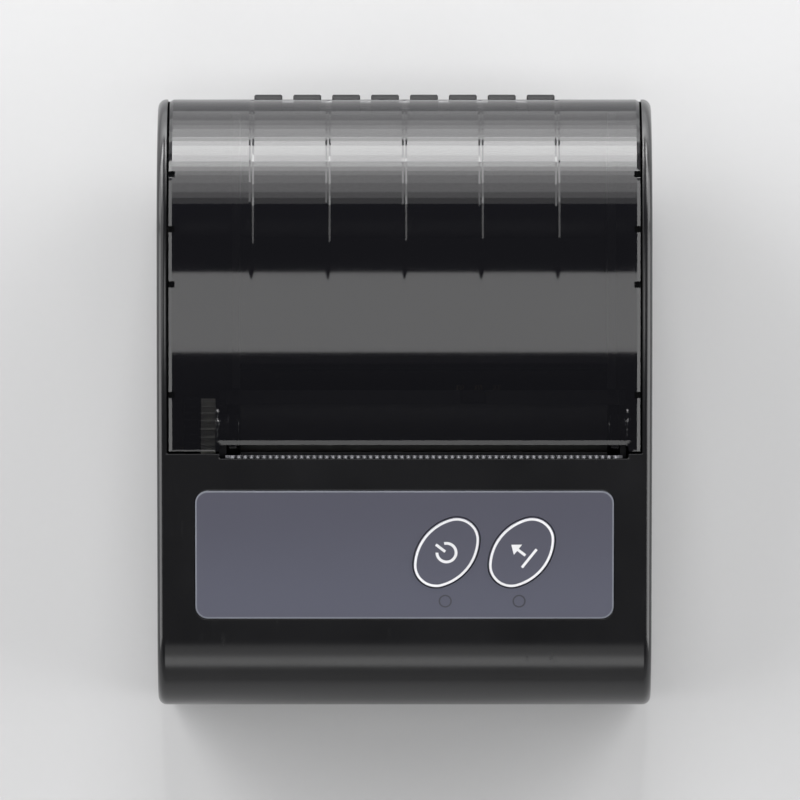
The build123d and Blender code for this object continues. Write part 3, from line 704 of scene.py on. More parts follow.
def plate(name: str, width: float, length: float, radius: float, low: float, high: float) -> Piece:
    """Rounded rectangular plate, lying flat round the origin.

    Args:
        name: Name of the piece.
        width: Size along X.
        length: Size along Y.
        radius: Radius of the corners.
        low: Lower height.
        high: Upper height.

    Returns:
        The solid.
    """
    w, h, quarter = width / 2, length / 2, math.pi / 2
    pen = Pen(name, (w, h - radius, low))
    pen.arc((w - radius, h - radius, low), quarter, 10).line(2 * radius - width, 0, 0)
    pen.arc((radius - w, h - radius, low), quarter, 10).line(0, 2 * radius - length, 0)
    pen.arc((radius - w, radius - h, low), quarter, 10).line(width - 2 * radius, 0, 0)
    pen.arc((w - radius, radius - h, low), quarter, 10).line(0, length - 2 * radius, 0)
    return pen.pull(0, 0, high - low)


# Shader graphs


Value = Union[float, Sequence[float], "Wire"]


class Wire:
    """An output socket of a material. Sums on wires and numbers add Math nodes."""

    def __init__(self, graph: "Graph", socket: bpy.types.NodeSocket) -> None:
        """Keeps the graph and the socket."""
        self.graph = graph
        self.socket = socket

    def maths(self, operation: str, first: Value, second: Value = 0.0) -> "Wire":
        """Result of a Math node."""
        return self.graph.node("Math", {0: first, 1: second}, operation=operation)

    def __add__(self, other: Value) -> "Wire":
        """Sum."""
        return self.maths("ADD", self, other)

    __radd__ = __add__

    def __sub__(self, other: Value) -> "Wire":
        """Difference."""
        return self.maths("SUBTRACT", self, other)

    def __rsub__(self, other: Value) -> "Wire":
        """Difference from a number."""
        return self.maths("SUBTRACT", other, self)

    def __mul__(self, other: Value) -> "Wire":
        """Product."""
        return self.maths("MULTIPLY", self, other)

    __rmul__ = __mul__

    def __pow__(self, other: Value) -> "Wire":
        """Power."""
        return self.maths("POWER", self, other)


class Graph:
    """Node tree of one material."""

    def __init__(self, name: str) -> None:
        """Makes an empty material.

        Args:
            name: Name of the material.
        """
        self.material = bpy.data.materials.new(name)
        self.material.use_nodes = True
        self.tree = self.material.node_tree
        self.tree.nodes.clear()

    def node(
        self, kind: str, inputs: Optional[Mapping[Union[int, str], Value]] = None,
        output: Union[int, str] = 0, **settings: object,
    ) -> Optional[Wire]:
        """Adds a node.

        Args:
            kind: Node type, without its prefix.
            inputs: Values or wires by socket name or number.
            output: Name or number of the output that is used.
            settings: Settings of the node, set before its sockets.

        Returns:
            The wire of that output, or None for a node with no outputs.
        """
        node = self.tree.nodes.new("ShaderNode" + kind)
        for key, value in settings.items():
            setattr(node, key, value)
        for key, value in (inputs or {}).items():
            if isinstance(value, Wire):
                self.tree.links.new(value.socket, node.inputs[key])
            else:
                node.inputs[key].default_value = value
        return Wire(self, node.outputs[output]) if len(node.outputs) else None

    def place(self, scale: Point = (1, 1, 1), turn: Point = (0, 0, 0)) -> Wire:
        """Object coordinates, scaled and turned."""
        where = self.node("TexCoord", output="Object")
        return self.node("Mapping", {"Vector": where, "Rotation": turn, "Scale": scale})

    def axis(self, letter: str) -> Wire:
        """Object coordinate along one axis."""
        where = self.node("TexCoord", output="Object")
        return self.node("SeparateXYZ", {0: where}, output=letter)

    def noise(self, size: float, detail: float = 2.0, where: Optional[Wire] = None) -> Wire:
        """Noise whose lumps have this size in millimetres."""
        inputs = {"Vector": where or self.place(), "Scale": 1 / (size * MM), "Detail": detail}
        return self.node("TexNoise", inputs)

    def band(
        self, value: Value, low: float, high: float, to_low: float = 0.0, to_high: float = 1.0
    ) -> Wire:
        """Maps a range onto another, clamped and eased at both ends."""
        inputs = {0: value, 1: low, 2: high, 3: to_low, 4: to_high}
        return self.node("MapRange", inputs, interpolation_type="SMOOTHSTEP")

    def mix(self, factor: Value, first: Value, second: Value) -> Wire:
        """Mix of two colours.

        Args:
            factor: Share of the second colour.
            first: First colour.
            second: Second colour.

        Returns:
            The wire of the mix.
        """
        wires = {0: factor}
        for index, value in ((6, first), (7, second)):
            wires[index] = value if isinstance(value, Wire) else (*value, 1.0)
        return self.node("Mix", wires, output=2, data_type="RGBA")

    def bump(self, height: Value, strength: float, depth: float) -> Wire:
        """Normal raised by a height field, depth in millimetres."""
        return self.node("Bump", {"Height": height, "Strength": strength, "Distance": depth * MM})


# Finishes


def shade(colour: Colour, factor: float) -> Colour:
    """A colour made darker or lighter."""
    return tuple(factor * c for c in colour)


class Lay(Enum):
    """Direction of a metal's brushing or rolling marks."""

    ACROSS = (0.04, 1.0, 1.0)
    ALONG = (1.0, 0.04, 1.0)
    UPRIGHT = (1.0, 1.0, 0.04)
    CAST = (1.0, 1.0, 1.0)


@dataclass(frozen=True)
class Finish:
    """Base of every finish: its own name and the record's material slot it stands for."""

    name: str
    slot: str

    def material(self) -> bpy.types.Material:
        """Makes the finish's material, once.

        Returns:
            The material.
        """
        known = bpy.data.materials.get(self.name)
        if known:
            return known
        graph = Graph(self.name)
        graph.node("OutputMaterial", {"Surface": self.draw(graph)})
        return graph.material

    def draw(self, graph: Graph) -> Wire:
        """Adds the finish's nodes and returns its shader.

        Args:
            graph: Node tree that takes the nodes.

        Returns:
            The shader.
        """
        raise NotImplementedError


@dataclass(frozen=True)
class Moulding(Finish):
    """Moulded plastic with spark grain, faint flow clouds and fine handling marks."""

    colour: Colour
    roughness: float = 0.32
    grain: float = 0.3
    relief: float = 0.006
    alpha: float = 1.0
    shine: float = 0.5

    def draw(self, graph: Graph) -> Wire:
        """Grained plastic.

        Args:
            graph: Node tree that takes the nodes.

        Returns:
            The shader.
        """
        grain = graph.noise(self.grain, 3.0)
        clouds = graph.noise(11.0, 2.0)
        scratches = graph.place((1, 0.12, 1), (0, 0, 0.5))
        marks = graph.band(graph.noise(1.1, 5.0, scratches), 0.62, 0.78)
        light = tuple(min(1.0, 1.22 * c + 0.0015) for c in self.colour)
        colour = graph.mix(clouds, shade(self.colour, 0.82), light)
        roughness = clouds * 0.07 + marks * 0.08 + grain * 0.05 + (self.roughness - 0.06)
        return graph.node("BsdfPrincipled", {
            "Base Color": colour, "Roughness": roughness,
            "Alpha": self.alpha, "Specular IOR Level": self.shine,
            "Normal": graph.bump(grain + marks * -0.5, 0.6, self.relief),
        })


@dataclass(frozen=True)
class SmokedSheet(Finish):
    """Glossy smoked plastic, tinted at its outside, so gears and cradle show faintly through it."""

    colour: Colour = (0.004, 0.004, 0.0055)
    outside: float = 0.82
    inside: float = 0.1
    deep: float = 1.5
    shallow: float = 1.1

    def outer(self, graph: Graph) -> Wire:
        """Tells the outer side of the wall from its inner side, by the distance from its axis.

        Args:
            graph: Node tree that takes the nodes.

        Returns:
            1 on the outer side and 0 on the inner side.
        """
        y, z = graph.axis("Y") - PLAN.barrel_y * MM, graph.axis("Z")
        rear = graph.band(y, -0.1 * MM, 0.1 * MM)
        parts = ((PLAN.crown_z, PLAN.crown_r, 1 - rear), (PLAN.barrel_r, PLAN.barrel_r, rear))
        on_crown, on_barrel = (
            graph.band(
                (y * y + (z - centre * MM) ** 2) ** 0.5,
                (radius - self.deep) * MM, (radius - self.shallow) * MM,
            ) * share
            for centre, radius, share in parts
        )
        return on_crown + on_barrel

    def draw(self, graph: Graph) -> Wire:
        """See-through dark gloss.

        Args:
            graph: Node tree that takes the nodes.

        Returns:
            The shader.
        """
        flecks = graph.band(graph.noise(0.16, 2.0), 0.76, 0.82)
        wave = graph.noise(19.0, 1.0)
        scratches = graph.place((1, 0.07, 1), (0, 0, -0.35))
        hairs = graph.band(graph.noise(0.9, 6.0, scratches), 0.68, 0.82)
        colour = graph.mix(flecks, self.colour, (0.05, 0.05, 0.055))
        return graph.node("BsdfPrincipled", {
            "Base Color": colour, "Roughness": flecks * 0.2 + hairs * 0.04 + wave * 0.02 + 0.03,
            "Alpha": self.outer(graph) * (self.outside - self.inside) + self.inside,
            "Normal": graph.bump(wave, 0.35, 0.012),
        })


@dataclass(frozen=True)
class ShadedFilm(Finish):
    """Satin film with a hair-fine texture, whose colour fades from one shade to another along Y; on
    the overlay and keys the fade is painted shading, lighter at the front and darker towards the
    rear.
    """

    low: Colour
    high: Colour
    y_low: float = -34.6
    y_high: float = -15.0
    roughness: float = 0.42

    def draw(self, graph: Graph) -> Wire:
        """Satin film.

        Args:
            graph: Node tree that takes the nodes.

        Returns:
            The shader.
        """
        # the colour fades from the low shade to the high shade along Y; on the overlay and keys
        # this is painted shading
        fade = graph.band(graph.axis("Y"), self.y_low * MM, self.y_high * MM)
        texture = graph.noise(0.14, 2.0)
        clouds = graph.noise(9.0, 2.0)
        colour = graph.mix(fade, self.low, self.high)
        colour = graph.mix(clouds * 0.12 + texture * 0.1, colour, shade(self.high, 1.3))
        return graph.node("BsdfPrincipled", {
            "Base Color": colour,
            "Roughness": texture * 0.1 + clouds * 0.05 + (self.roughness - 0.07),
            "Normal": graph.bump(texture, 0.5, 0.004),
        })


@dataclass(frozen=True)
class Metal(Finish):
    """Rolled, plated or ground metal with drawing marks and a little tarnish."""

    colour: Colour
    roughness: float = 0.26
    lay: Lay = Lay.ACROSS
    streak: float = 0.1

    def draw(self, graph: Graph) -> Wire:
        """Brushed metal.

        Args:
            graph: Node tree that takes the nodes.

        Returns:
            The shader.
        """
        streaks = graph.noise(self.streak, 3.0, graph.place(self.lay.value))
        stains = graph.noise(4.0, 3.0)
        tarnish = graph.band(stains, 0.45, 0.8) * 0.5
        colour = graph.mix(tarnish, self.colour, shade(self.colour, 0.72))
        return graph.node("BsdfPrincipled", {
            "Base Color": colour, "Metallic": 1.0,
            "Roughness": streaks * 0.16 + stains * 0.08 + (self.roughness - 0.1),
            "Normal": graph.bump(streaks, 0.35, 0.004),
        })


@dataclass(frozen=True)
class Rubber(Finish):
    """Ground rubber sleeve, matt, with grinding lines round it."""

    colour: Colour = (0.018, 0.018, 0.019)

    def draw(self, graph: Graph) -> Wire:
        """Matt rubber.

        Args:
            graph: Node tree that takes the nodes.

        Returns:
            The shader.
        """
        rings = graph.noise(0.12, 2.0, graph.place((1, 0.02, 0.02)))
        dust = graph.band(graph.noise(2.2, 4.0), 0.5, 0.75)
        colour = graph.mix(dust * 0.5, self.colour, shade(self.colour, 1.9))
        return graph.node("BsdfPrincipled", {
            "Base Color": colour, "Roughness": rings * 0.12 + 0.6,
            "Normal": graph.bump(rings + dust * 0.2, 0.5, 0.02),
        })


@dataclass(frozen=True)
class Ceramic(Finish):
    """Fired ceramic with glaze specks."""

    colour: Colour = (0.8, 0.78, 0.71)

    def draw(self, graph: Graph) -> Wire:
        """Speckled glaze.

        Args:
            graph: Node tree that takes the nodes.

        Returns:
            The shader.
        """
        specks = graph.band(graph.noise(0.25, 3.0), 0.6, 0.75)
        colour = graph.mix(specks * 0.4, self.colour, (0.55, 0.52, 0.45))
        return graph.node("BsdfPrincipled", {
            "Base Color": colour, "Roughness": specks * 0.25 + 0.16,
            "Normal": graph.bump(specks, 0.2, 0.01),
        })


@dataclass(frozen=True)
class SolderMask(Finish):
    """Circuit board lacquer over copper tracks and vias."""

    colour: Colour = (0.012, 0.13, 0.05)

    def draw(self, graph: Graph) -> Wire:
        """Lacquered board.

        Args:
            graph: Node tree that takes the nodes.

        Returns:
            The shader.
        """
        where = graph.place()
        tracks = graph.node("TexBrick", {
            "Vector": where, "Color1": (1, 1, 1, 1), "Color2": (0.9, 0.9, 0.9, 1),
            "Mortar": (0, 0, 0, 1), "Scale": 260.0, "Mortar Size": 0.025, "Row Height": 0.16,
        }, output="Fac")
        inputs = {"Vector": where, "Scale": 420.0, "Randomness": 0.85}
        cells = graph.node("TexVoronoi", inputs, feature="F1")
        vias = graph.band(cells, 0.16, 0.22, 1.0, 0.0)
        colour = graph.mix(tracks * 0.7, self.colour, shade(self.colour, 2.1))
        colour = graph.mix(vias, colour, (0.62, 0.58, 0.42))
        return graph.node("BsdfPrincipled", {
            "Base Color": colour, "Roughness": 0.3 - vias * 0.06, "Metallic": vias * 0.8,
            "Normal": graph.bump(tracks + vias, 0.5, 0.03),
        })


@dataclass(frozen=True)
class Glow(Finish):
    """Clear light guide or lamp lens, frosted inside."""

    colour: Colour = (0.75, 0.78, 0.82)
    alpha: float = 0.6

    def draw(self, graph: Graph) -> Wire:
        """Frosted clear plastic.

        Args:
            graph: Node tree that takes the nodes.

        Returns:
            The shader.
        """
        frost = graph.noise(0.2, 3.0)
        colour = graph.mix(frost * 0.4, self.colour, shade(self.colour, 0.8))
        return graph.node("BsdfPrincipled", {
            "Base Color": colour, "Roughness": frost * 0.2 + 0.08, "Alpha": self.alpha,
            "Normal": graph.bump(frost, 0.2, 0.01),
        })


@dataclass(frozen=True)
class Paper(Finish):
    """Plain matt floor sheet."""

    colour: Colour = (0.595, 0.595, 0.6)

    def draw(self, graph: Graph) -> Wire:
        """Matt paper with faint fibres.

        Args:
            graph: Node tree that takes the nodes.

        Returns:
            The shader.
        """
        fibres = graph.noise(1.6, 4.0)
        drift = graph.noise(120.0, 2.0)
        wear = fibres * 0.25 + drift * 0.2
        colour = graph.mix(wear, self.colour, shade(self.colour, 0.93))
        return graph.node("BsdfPrincipled", {
            "Base Color": colour, "Roughness": 0.85, "Specular IOR Level": 0.15,
            "Normal": graph.bump(fibres, 0.12, 0.05),
        })


BLACK = (0.0055, 0.0055, 0.0064)
# overlay and key colours, lighter at the front and darker towards the rear: the darkening towards
# the rear is painted shading
VIOLET_GREY_SHADED = ((0.088, 0.091, 0.124), (0.069, 0.069, 0.095))
CASE = Moulding("case_gloss", "black_case", BLACK, 0.2, relief=0.003)
KNUCKLE = Moulding("knuckle_satin", "black_case", BLACK, 0.45, relief=0.004, shine=0.2)
SMOKED = SmokedSheet("smoked_gloss", "smoked_cover")
SMOKED_RIB = Moulding(
    "smoked_rib", "smoked_cover", (0.012, 0.012, 0.015), 0.22, relief=0.002, alpha=0.6, shine=0.12
)
INSERT = Moulding("insert_matt", "dark_insert", (0.018, 0.018, 0.02), 0.46, 0.4, 0.012)
FRAME = Moulding("frame_matt", "frame_plastic", (0.012, 0.012, 0.014), 0.55, 0.3, 0.012, shine=0.15)
FILM = ShadedFilm("overlay_satin", "overlay_film", *VIOLET_GREY_SHADED)
KEYCAP = ShadedFilm("key_satin", "key_cap", *VIOLET_GREY_SHADED)
# the film's real cut edge, coloured lighter as a painted highlight along the overlay's border
RIM_FILM_HIGHLIGHT = Moulding("overlay_edge_painted_highlight", "overlay_film", (0.2, 0.21, 0.245), 0.36, 0.2, 0.002)
INK = Moulding("white_ink", "key_cap", (0.8, 0.8, 0.82), 0.55, 0.12, 0.003)
LENS_RING = Moulding("lamp_ring_ink", "overlay_film", (0.045, 0.046, 0.058), 0.4, 0.12, 0.002)
# nearly black steel: painted shade, standing in for the gear that hides the axle in the real
# printer
AXLE_SHADE = Metal("axle_steel_painted_shade", "plated_steel", (0.07, 0.07, 0.075), 0.4)
SPRING = Metal("clip_steel_bright", "plated_steel", (0.84, 0.84, 0.85), 0.11, Lay.CAST)
PLATED = Metal("plated_steel_drawn", "plated_steel", (0.66, 0.66, 0.67), 0.24, Lay.ACROSS)
BLADE = Metal("blade_steel_ground", "blade_steel", (0.16, 0.16, 0.17), 0.38, Lay.UPRIGHT, 0.06)
BRASS = Metal("contact_brass_strip", "contact_brass", (0.8, 0.62, 0.3), 0.25, Lay.ALONG)
CAN = Metal("motor_can_zinc", "motor_can", (0.5, 0.5, 0.51), 0.34, Lay.ACROSS, 0.15)
ALLOY = Metal("head_alloy_milled", "head_alloy", (0.74, 0.74, 0.75), 0.32, Lay.ACROSS, 0.12)
SHIELD = Metal("shield_can_tin", "shield_can", (0.62, 0.62, 0.62), 0.32, Lay.CAST, 0.5)
CERAMIC = Ceramic("head_ceramic_glaze", "head_ceramic")
RUBBER = Rubber("platen_rubber_ground", "platen_rubber")
BEARING = Moulding("bearing_resin_satin", "frame_plastic", (0.03, 0.03, 0.033), 0.4, 0.25, 0.005)
GEAR_DARK = Moulding(
    "gear_resin_dark", "dark_insert", (0.022, 0.022, 0.025), 0.52, 0.25, 0.005, shine=0.15
)
# black strip over the print head: painted shade in the paper slot
SLOT_SHADE = Moulding("slot_shade_matt", "dark_insert", (0.01, 0.01, 0.012), 0.5, 0.25, 0.008, shine=0.2)
GEAR = Moulding("gear_resin_satin", "gear_resin", (0.68, 0.67, 0.62), 0.42, 0.25, 0.005)
BOARD = SolderMask("board_lacquer", "circuit_board")
CHIP = Moulding("chip_epoxy", "chip_body", (0.02, 0.02, 0.021), 0.5, 0.12, 0.006)
CAP = Moulding("capacitor_epoxy", "capacitor_can", (0.55, 0.28, 0.04), 0.4, 0.15, 0.005)
SWITCH = Moulding("switch_resin", "switch_body", (0.03, 0.03, 0.032), 0.45)
SENSOR = Moulding("sensor_resin", "sensor_body", (0.015, 0.014, 0.018), 0.25)
LED = Glow("led_lens", "led_package", (0.78, 0.8, 0.6), 0.9)
GUIDE = Glow("light_guide", "lamp_clear")
WRAP = ShadedFilm(
    "battery_shrink", "battery_wrap", (0.035, 0.045, 0.075), (0.045, 0.055, 0.09), -47.0, 0.0, 0.3
)


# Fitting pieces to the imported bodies


class Body(Enum):
    """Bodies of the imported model."""

    HOUSING = "housing"
    COVER = "cover"
    PLATEN = "platen"
    REDUCTION = "reduction"
    ROTOR = "rotor"
    HEAD = "print_head"
    POWER = "power_button"
    FEED = "feed_button"
    DOOR = "battery_lid"


def fit(piece: Piece, body: Body, finish: Finish, *nodes: str) -> Piece:
    """Gives a piece its finish and lets it ride on a body.

    Args:
        piece: The finished mesh, with its place in it.
        body: The body it moves with.
        finish: Its finish.
        nodes: CAD nodes that it stands for.

    Returns:
        The piece.
    """
    piece.data.materials.clear()
    piece.data.materials.append(finish.material())
    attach(piece, body.value)
    if nodes:
        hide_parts(*nodes)
    faces = len(piece.data.polygons)
    LOG.info("%s: %d faces on %s, %s", piece.name, faces, body.value, finish.name)
    return piece


@dataclass(frozen=True)
class Refit:
    """A CAD node whose shape stays: its mesh is copied, its edges eased and its finish set."""

    node: str
    finish: Finish
    edge: float
    body: Body = Body.HOUSING

    def build(self) -> None:
        """Makes the piece and fits it."""
        piece = node_copy(self.node, self.node + "_piece")
        if self.edge:
            ease(piece, self.edge)
        fit(smooth(piece), self.body, self.finish, self.node)


# Sub-assemblies


@dataclass
class Enclosure:
    """Top case with its board rests, base case and battery door, with screws and hinge pin."""

    rim: float = 1.35
    edge: float = 0.15
    bay_outer: float = 24.4
    bay_inner: float = 23.2
    bay_rear: float = 0.2
    bay_top: float = 10.8
    bay_roof: float = 12.0
    door_half: float = 25.0
    door_front: float = -51.0
    door_rear: float = 0.45
    screws: Tuple[Tuple[float, float], ...] = (
        (-31.5, -37.5), (31.5, -37.5), (-31.5, 21.5), (31.5, 21.5),
    )
    shell: Optional[Piece] = None

    def build(self) -> None:
        """Builds the enclosure."""
        outside = side_outline("shell", 0, PLAN.width / 2, self.rim)
        self.shell = cut(outside, side_outline("cavity", PLAN.wall, PLAN.fin_x))
        self.build_top()
        self.build_base()
        self.build_door()
        self.build_pin()
        self.build_screws()
        drop(self.shell)

    def build_top(self) -> None:
        """Front panel and the side walls that flank the cover."""
        keep = block("keep", (-FAR, -FAR, PLAN.parting_z), (FAR, FAR, FAR))
        case = common(twin(self.shell, "top_case"), keep)
        cut(
            case,
            block("bay", (-PLAN.fin_x, PLAN.seam_y - PLAN.seam_gap, -1), (PLAN.fin_x, FAR, FAR)),
            block("slot", (PLAN.slot_left, -9.4, PLAN.parting_z), (PLAN.slot_right, 0, FAR)),
            place(plate("pocket", 67.0, 21.1, 2.1, -0.45, 2.0), PLAN.panel(0, PLAN.overlay_y)),
        )
        for x in (PLAN.power_x, PLAN.feed_x):
            cut(case, place(oval("hole", 0.15, -3.6, 2.0), PLAN.key_place(x)))
        for x in PLAN.lamps_x:
            guide = plate("guide_hole", 2.1, 2.1, 0.2, -3.6, 2.0)
            cut(case, place(guide, PLAN.panel(x, PLAN.lamps_y)))
        port = PLAN.panel_frame(PLAN.width / 2, -7.0, -PLAN.board_depth - PLAN.board_t - 1.95)
        side = Matrix(((0, 0, 1, 0), (1, 0, 0, 0), (0, 1, 0, 0), (0, 0, 0, 1)))
        cut(case, place(plate("port", 8.5, 4.7, 0.8, -4, 4), port @ side))
        ease(case, self.edge, clamp=False)
        for name, x in (("board_rest_left", -31.0), ("board_rest_right", 31.0)):
            rest = block(name, (x - 0.9, -17.0, -PLAN.board_depth), (x + 0.9, 6.0, -0.9))
            fit(smooth(ease(place(rest, PLAN.panel_frame(0, 0, 0)), 0.15)), Body.HOUSING, CASE)
        fit(smooth(case), Body.HOUSING, CASE, "upper_case")

    def knuckles(self, parity: int, bore: float) -> List[Piece]:
        """Every second hinge knuckle with the strip of wall that carries it.

        Args:
            parity: 0 for the cover's knuckles, 1 for the base's.
            bore: Radius of their bore.

        Returns:
            The knuckles, loose.
        """
        parts = []
        lean = 1 if parity == 0 else -1
        z0, z1 = sorted((PLAN.hinge_z, PLAN.hinge_z + lean * 1.95))
        for index in range(parity, PLAN.knuckles, 2):
            x0 = PLAN.first_knuckle + index * PLAN.knuckle_pitch
            x1 = x0 + PLAN.knuckle_w
            strip = common(twin(self.shell, "strip"), block("web", (x0, 36, z0), (x1, FAR, z1)))
            fuse(strip, turned("ring", bar(x0, x1, PLAN.knuckle_r, 0.2), HINGE_AXIS, 40))
            hole = turned("bore", bar(x0 - 1, x0 + 6, bore, 0.01), HINGE_AXIS, 32)
            parts.append(merge(cut(strip, hole), FLAT))
        return parts

    def build_base(self) -> None:
        """Tub with the rear wall, battery bay, feet of the mechanism and knuckles."""
        keep = block("keep", (-FAR, -FAR, -1), (FAR, FAR, PLAN.parting_z))
        fuse(
            keep,
            block("rear", (-PLAN.fin_x, PLAN.barrel_y, 16), (PLAN.fin_x, FAR, 18.1)),
            block("rear_left", (-PLAN.fin_x, PLAN.barrel_y, 16), (-PLAN.hinge_end, FAR, 18.7)),
            block("rear_right", (PLAN.hinge_end, PLAN.barrel_y, 16), (PLAN.fin_x, FAR, 18.7)),
        )
        case = common(twin(self.shell, "base_case"), keep)
        bay = cut(
            block(
                "bay", (-self.bay_outer, -48.1, 0.9),
                (self.bay_outer, self.bay_rear + 1.2, self.bay_roof),
            ),
            block(
                "room", (-self.bay_inner, -50, -1),
                (self.bay_inner, self.bay_rear, self.bay_top),
            ),
        )
        fuse(case, common(bay, side_outline("limit", 0.2, 30)))
        for x, y in PLAN.feet:
            fuse(case, block("foot", (x - 1.8, y - 1.8, 0.9), (x + 1.8, y + 1.8, self.bay_roof)))
        gap = self.door_half + PLAN.seam_gap
        cut(
            case,
            block("door_base", (-gap, self.door_front, -1), (gap, self.door_rear, PLAN.wall)),
            block("door_front", (-gap, self.door_front, -1), (gap, -45, 9.25)),
        )
        cheeks = both_sides(self.bay_inner, self.bay_outer)
        grooves = both_sides(gap - 0.1, self.door_half + 1.05)
        for (x0, x1), (x2, x3) in zip(cheeks, grooves):
            fuse(case, block("cheek", (x0, -44.75, 2.05), (x1, self.bay_rear, self.bay_roof)))
            cut(case, block("groove", (x2, self.door_front, 0.5), (x3, self.door_rear, 1.4)))
        for x in (9.0, 12.0, 15.0):
            cut(case, block("blade_slot", (x - 0.61, -0.8, 4.29), (x + 0.61, 3, 8.31)))
        recess = [(-1.0, 0), (-1.0, 2.9), (0.12, 2.9), (0.12, 2.7), (1.0, 2.6), (1.0, 0)]
        for x, y in self.screws:
            cut(case, turned("recess", recess, upright(x, y, 0), 48))
        ease(case, self.edge, clamp=False)
        fit(smooth(case), Body.HOUSING, CASE, "lower_case")
        parts = [ease(part, 0.1) for part in self.knuckles(1, 0.76)]
        fit(smooth(join("base_knuckles", parts)), Body.HOUSING, KNUCKLE)

    def build_door(self) -> None:
        """Battery door that wraps the front edge of the base."""
        low, high = (-self.door_half, self.door_front, -1), (self.door_half, self.bay_rear, 9)
        door = common(twin(self.shell, "door"), block("keep", low, high))
        for x0, x1 in both_sides(self.door_half - 0.2, self.door_half + 0.8):
            fuse(door, block("tongue", (x0, -45, 0.65), (x1, self.bay_rear, 1.25)))
        for step in range(3):
            at = shift(0, -39 + 2.4 * step, 0.05)
            cut(door, turned("grip", bar(-9, 9, 0.62, 0.3), at, 24))
        arrow = Pen("arrow", (-3.2, -31.2, -0.5)).line(6.4, 0, 0).line(-3.2, -2.6, 0)
        cut(door, arrow.pull(0, 0, 0.75))
        fit(smooth(ease(door, 0.12, clamp=False)), Body.DOOR, CASE, "battery_door")

    def build_pin(self) -> None:
        """Hinge pin through all the knuckles."""
        end = -PLAN.first_knuckle
        pin = turned("pin", bar(-end, end, 0.75, 0.15), HINGE_AXIS, 32)
        fit(pin, Body.HOUSING, PLATED, "hinge_pin")

    def build_screws(self) -> None:
        """Cross-head screws sunk in the base."""
        x0, y0 = self.screws[0]
        first = fit(screw("base_screw_1", 2.3, 0.62, upright(x0, y0, 0.28)), Body.HOUSING, PLATED)
        for index, (x, y) in enumerate(self.screws[1:], 2):
            copy = twin(first, f"base_screw_{index}", shift(x - x0, y - y0, 0))
            fit(copy, Body.HOUSING, PLATED)


def screw(name: str, radius: float, height: float, matrix: Matrix) -> Piece:
    """Cross-head screw whose head starts at the matrix's origin and grows along X.

    Args:
        name: Name of the piece.
        radius: Radius of the head.
        height: Height of the head.
        matrix: Its place; the recess opens at the origin, against X.

    Returns:
        The screw.
    """
    r, h = radius, height
    profile = [
        (0, 0), (0, 0.7 * r), (0.12 * h, 0.88 * r), (0.4 * h, r), (h, r), (h, 0.45 * r),
        (h + 0.1, 0.42 * r), (h + 0.1, 0),
    ]
    head = turned(name, profile, Matrix.Identity(4), 40)
    for y, z in ((0.13 * r, 0.55 * r), (0.55 * r, 0.13 * r)):
        cut(head, block("cross", (-1, -y, -z), (0.6 * h, y, z)))
    return smooth(place(head, matrix))


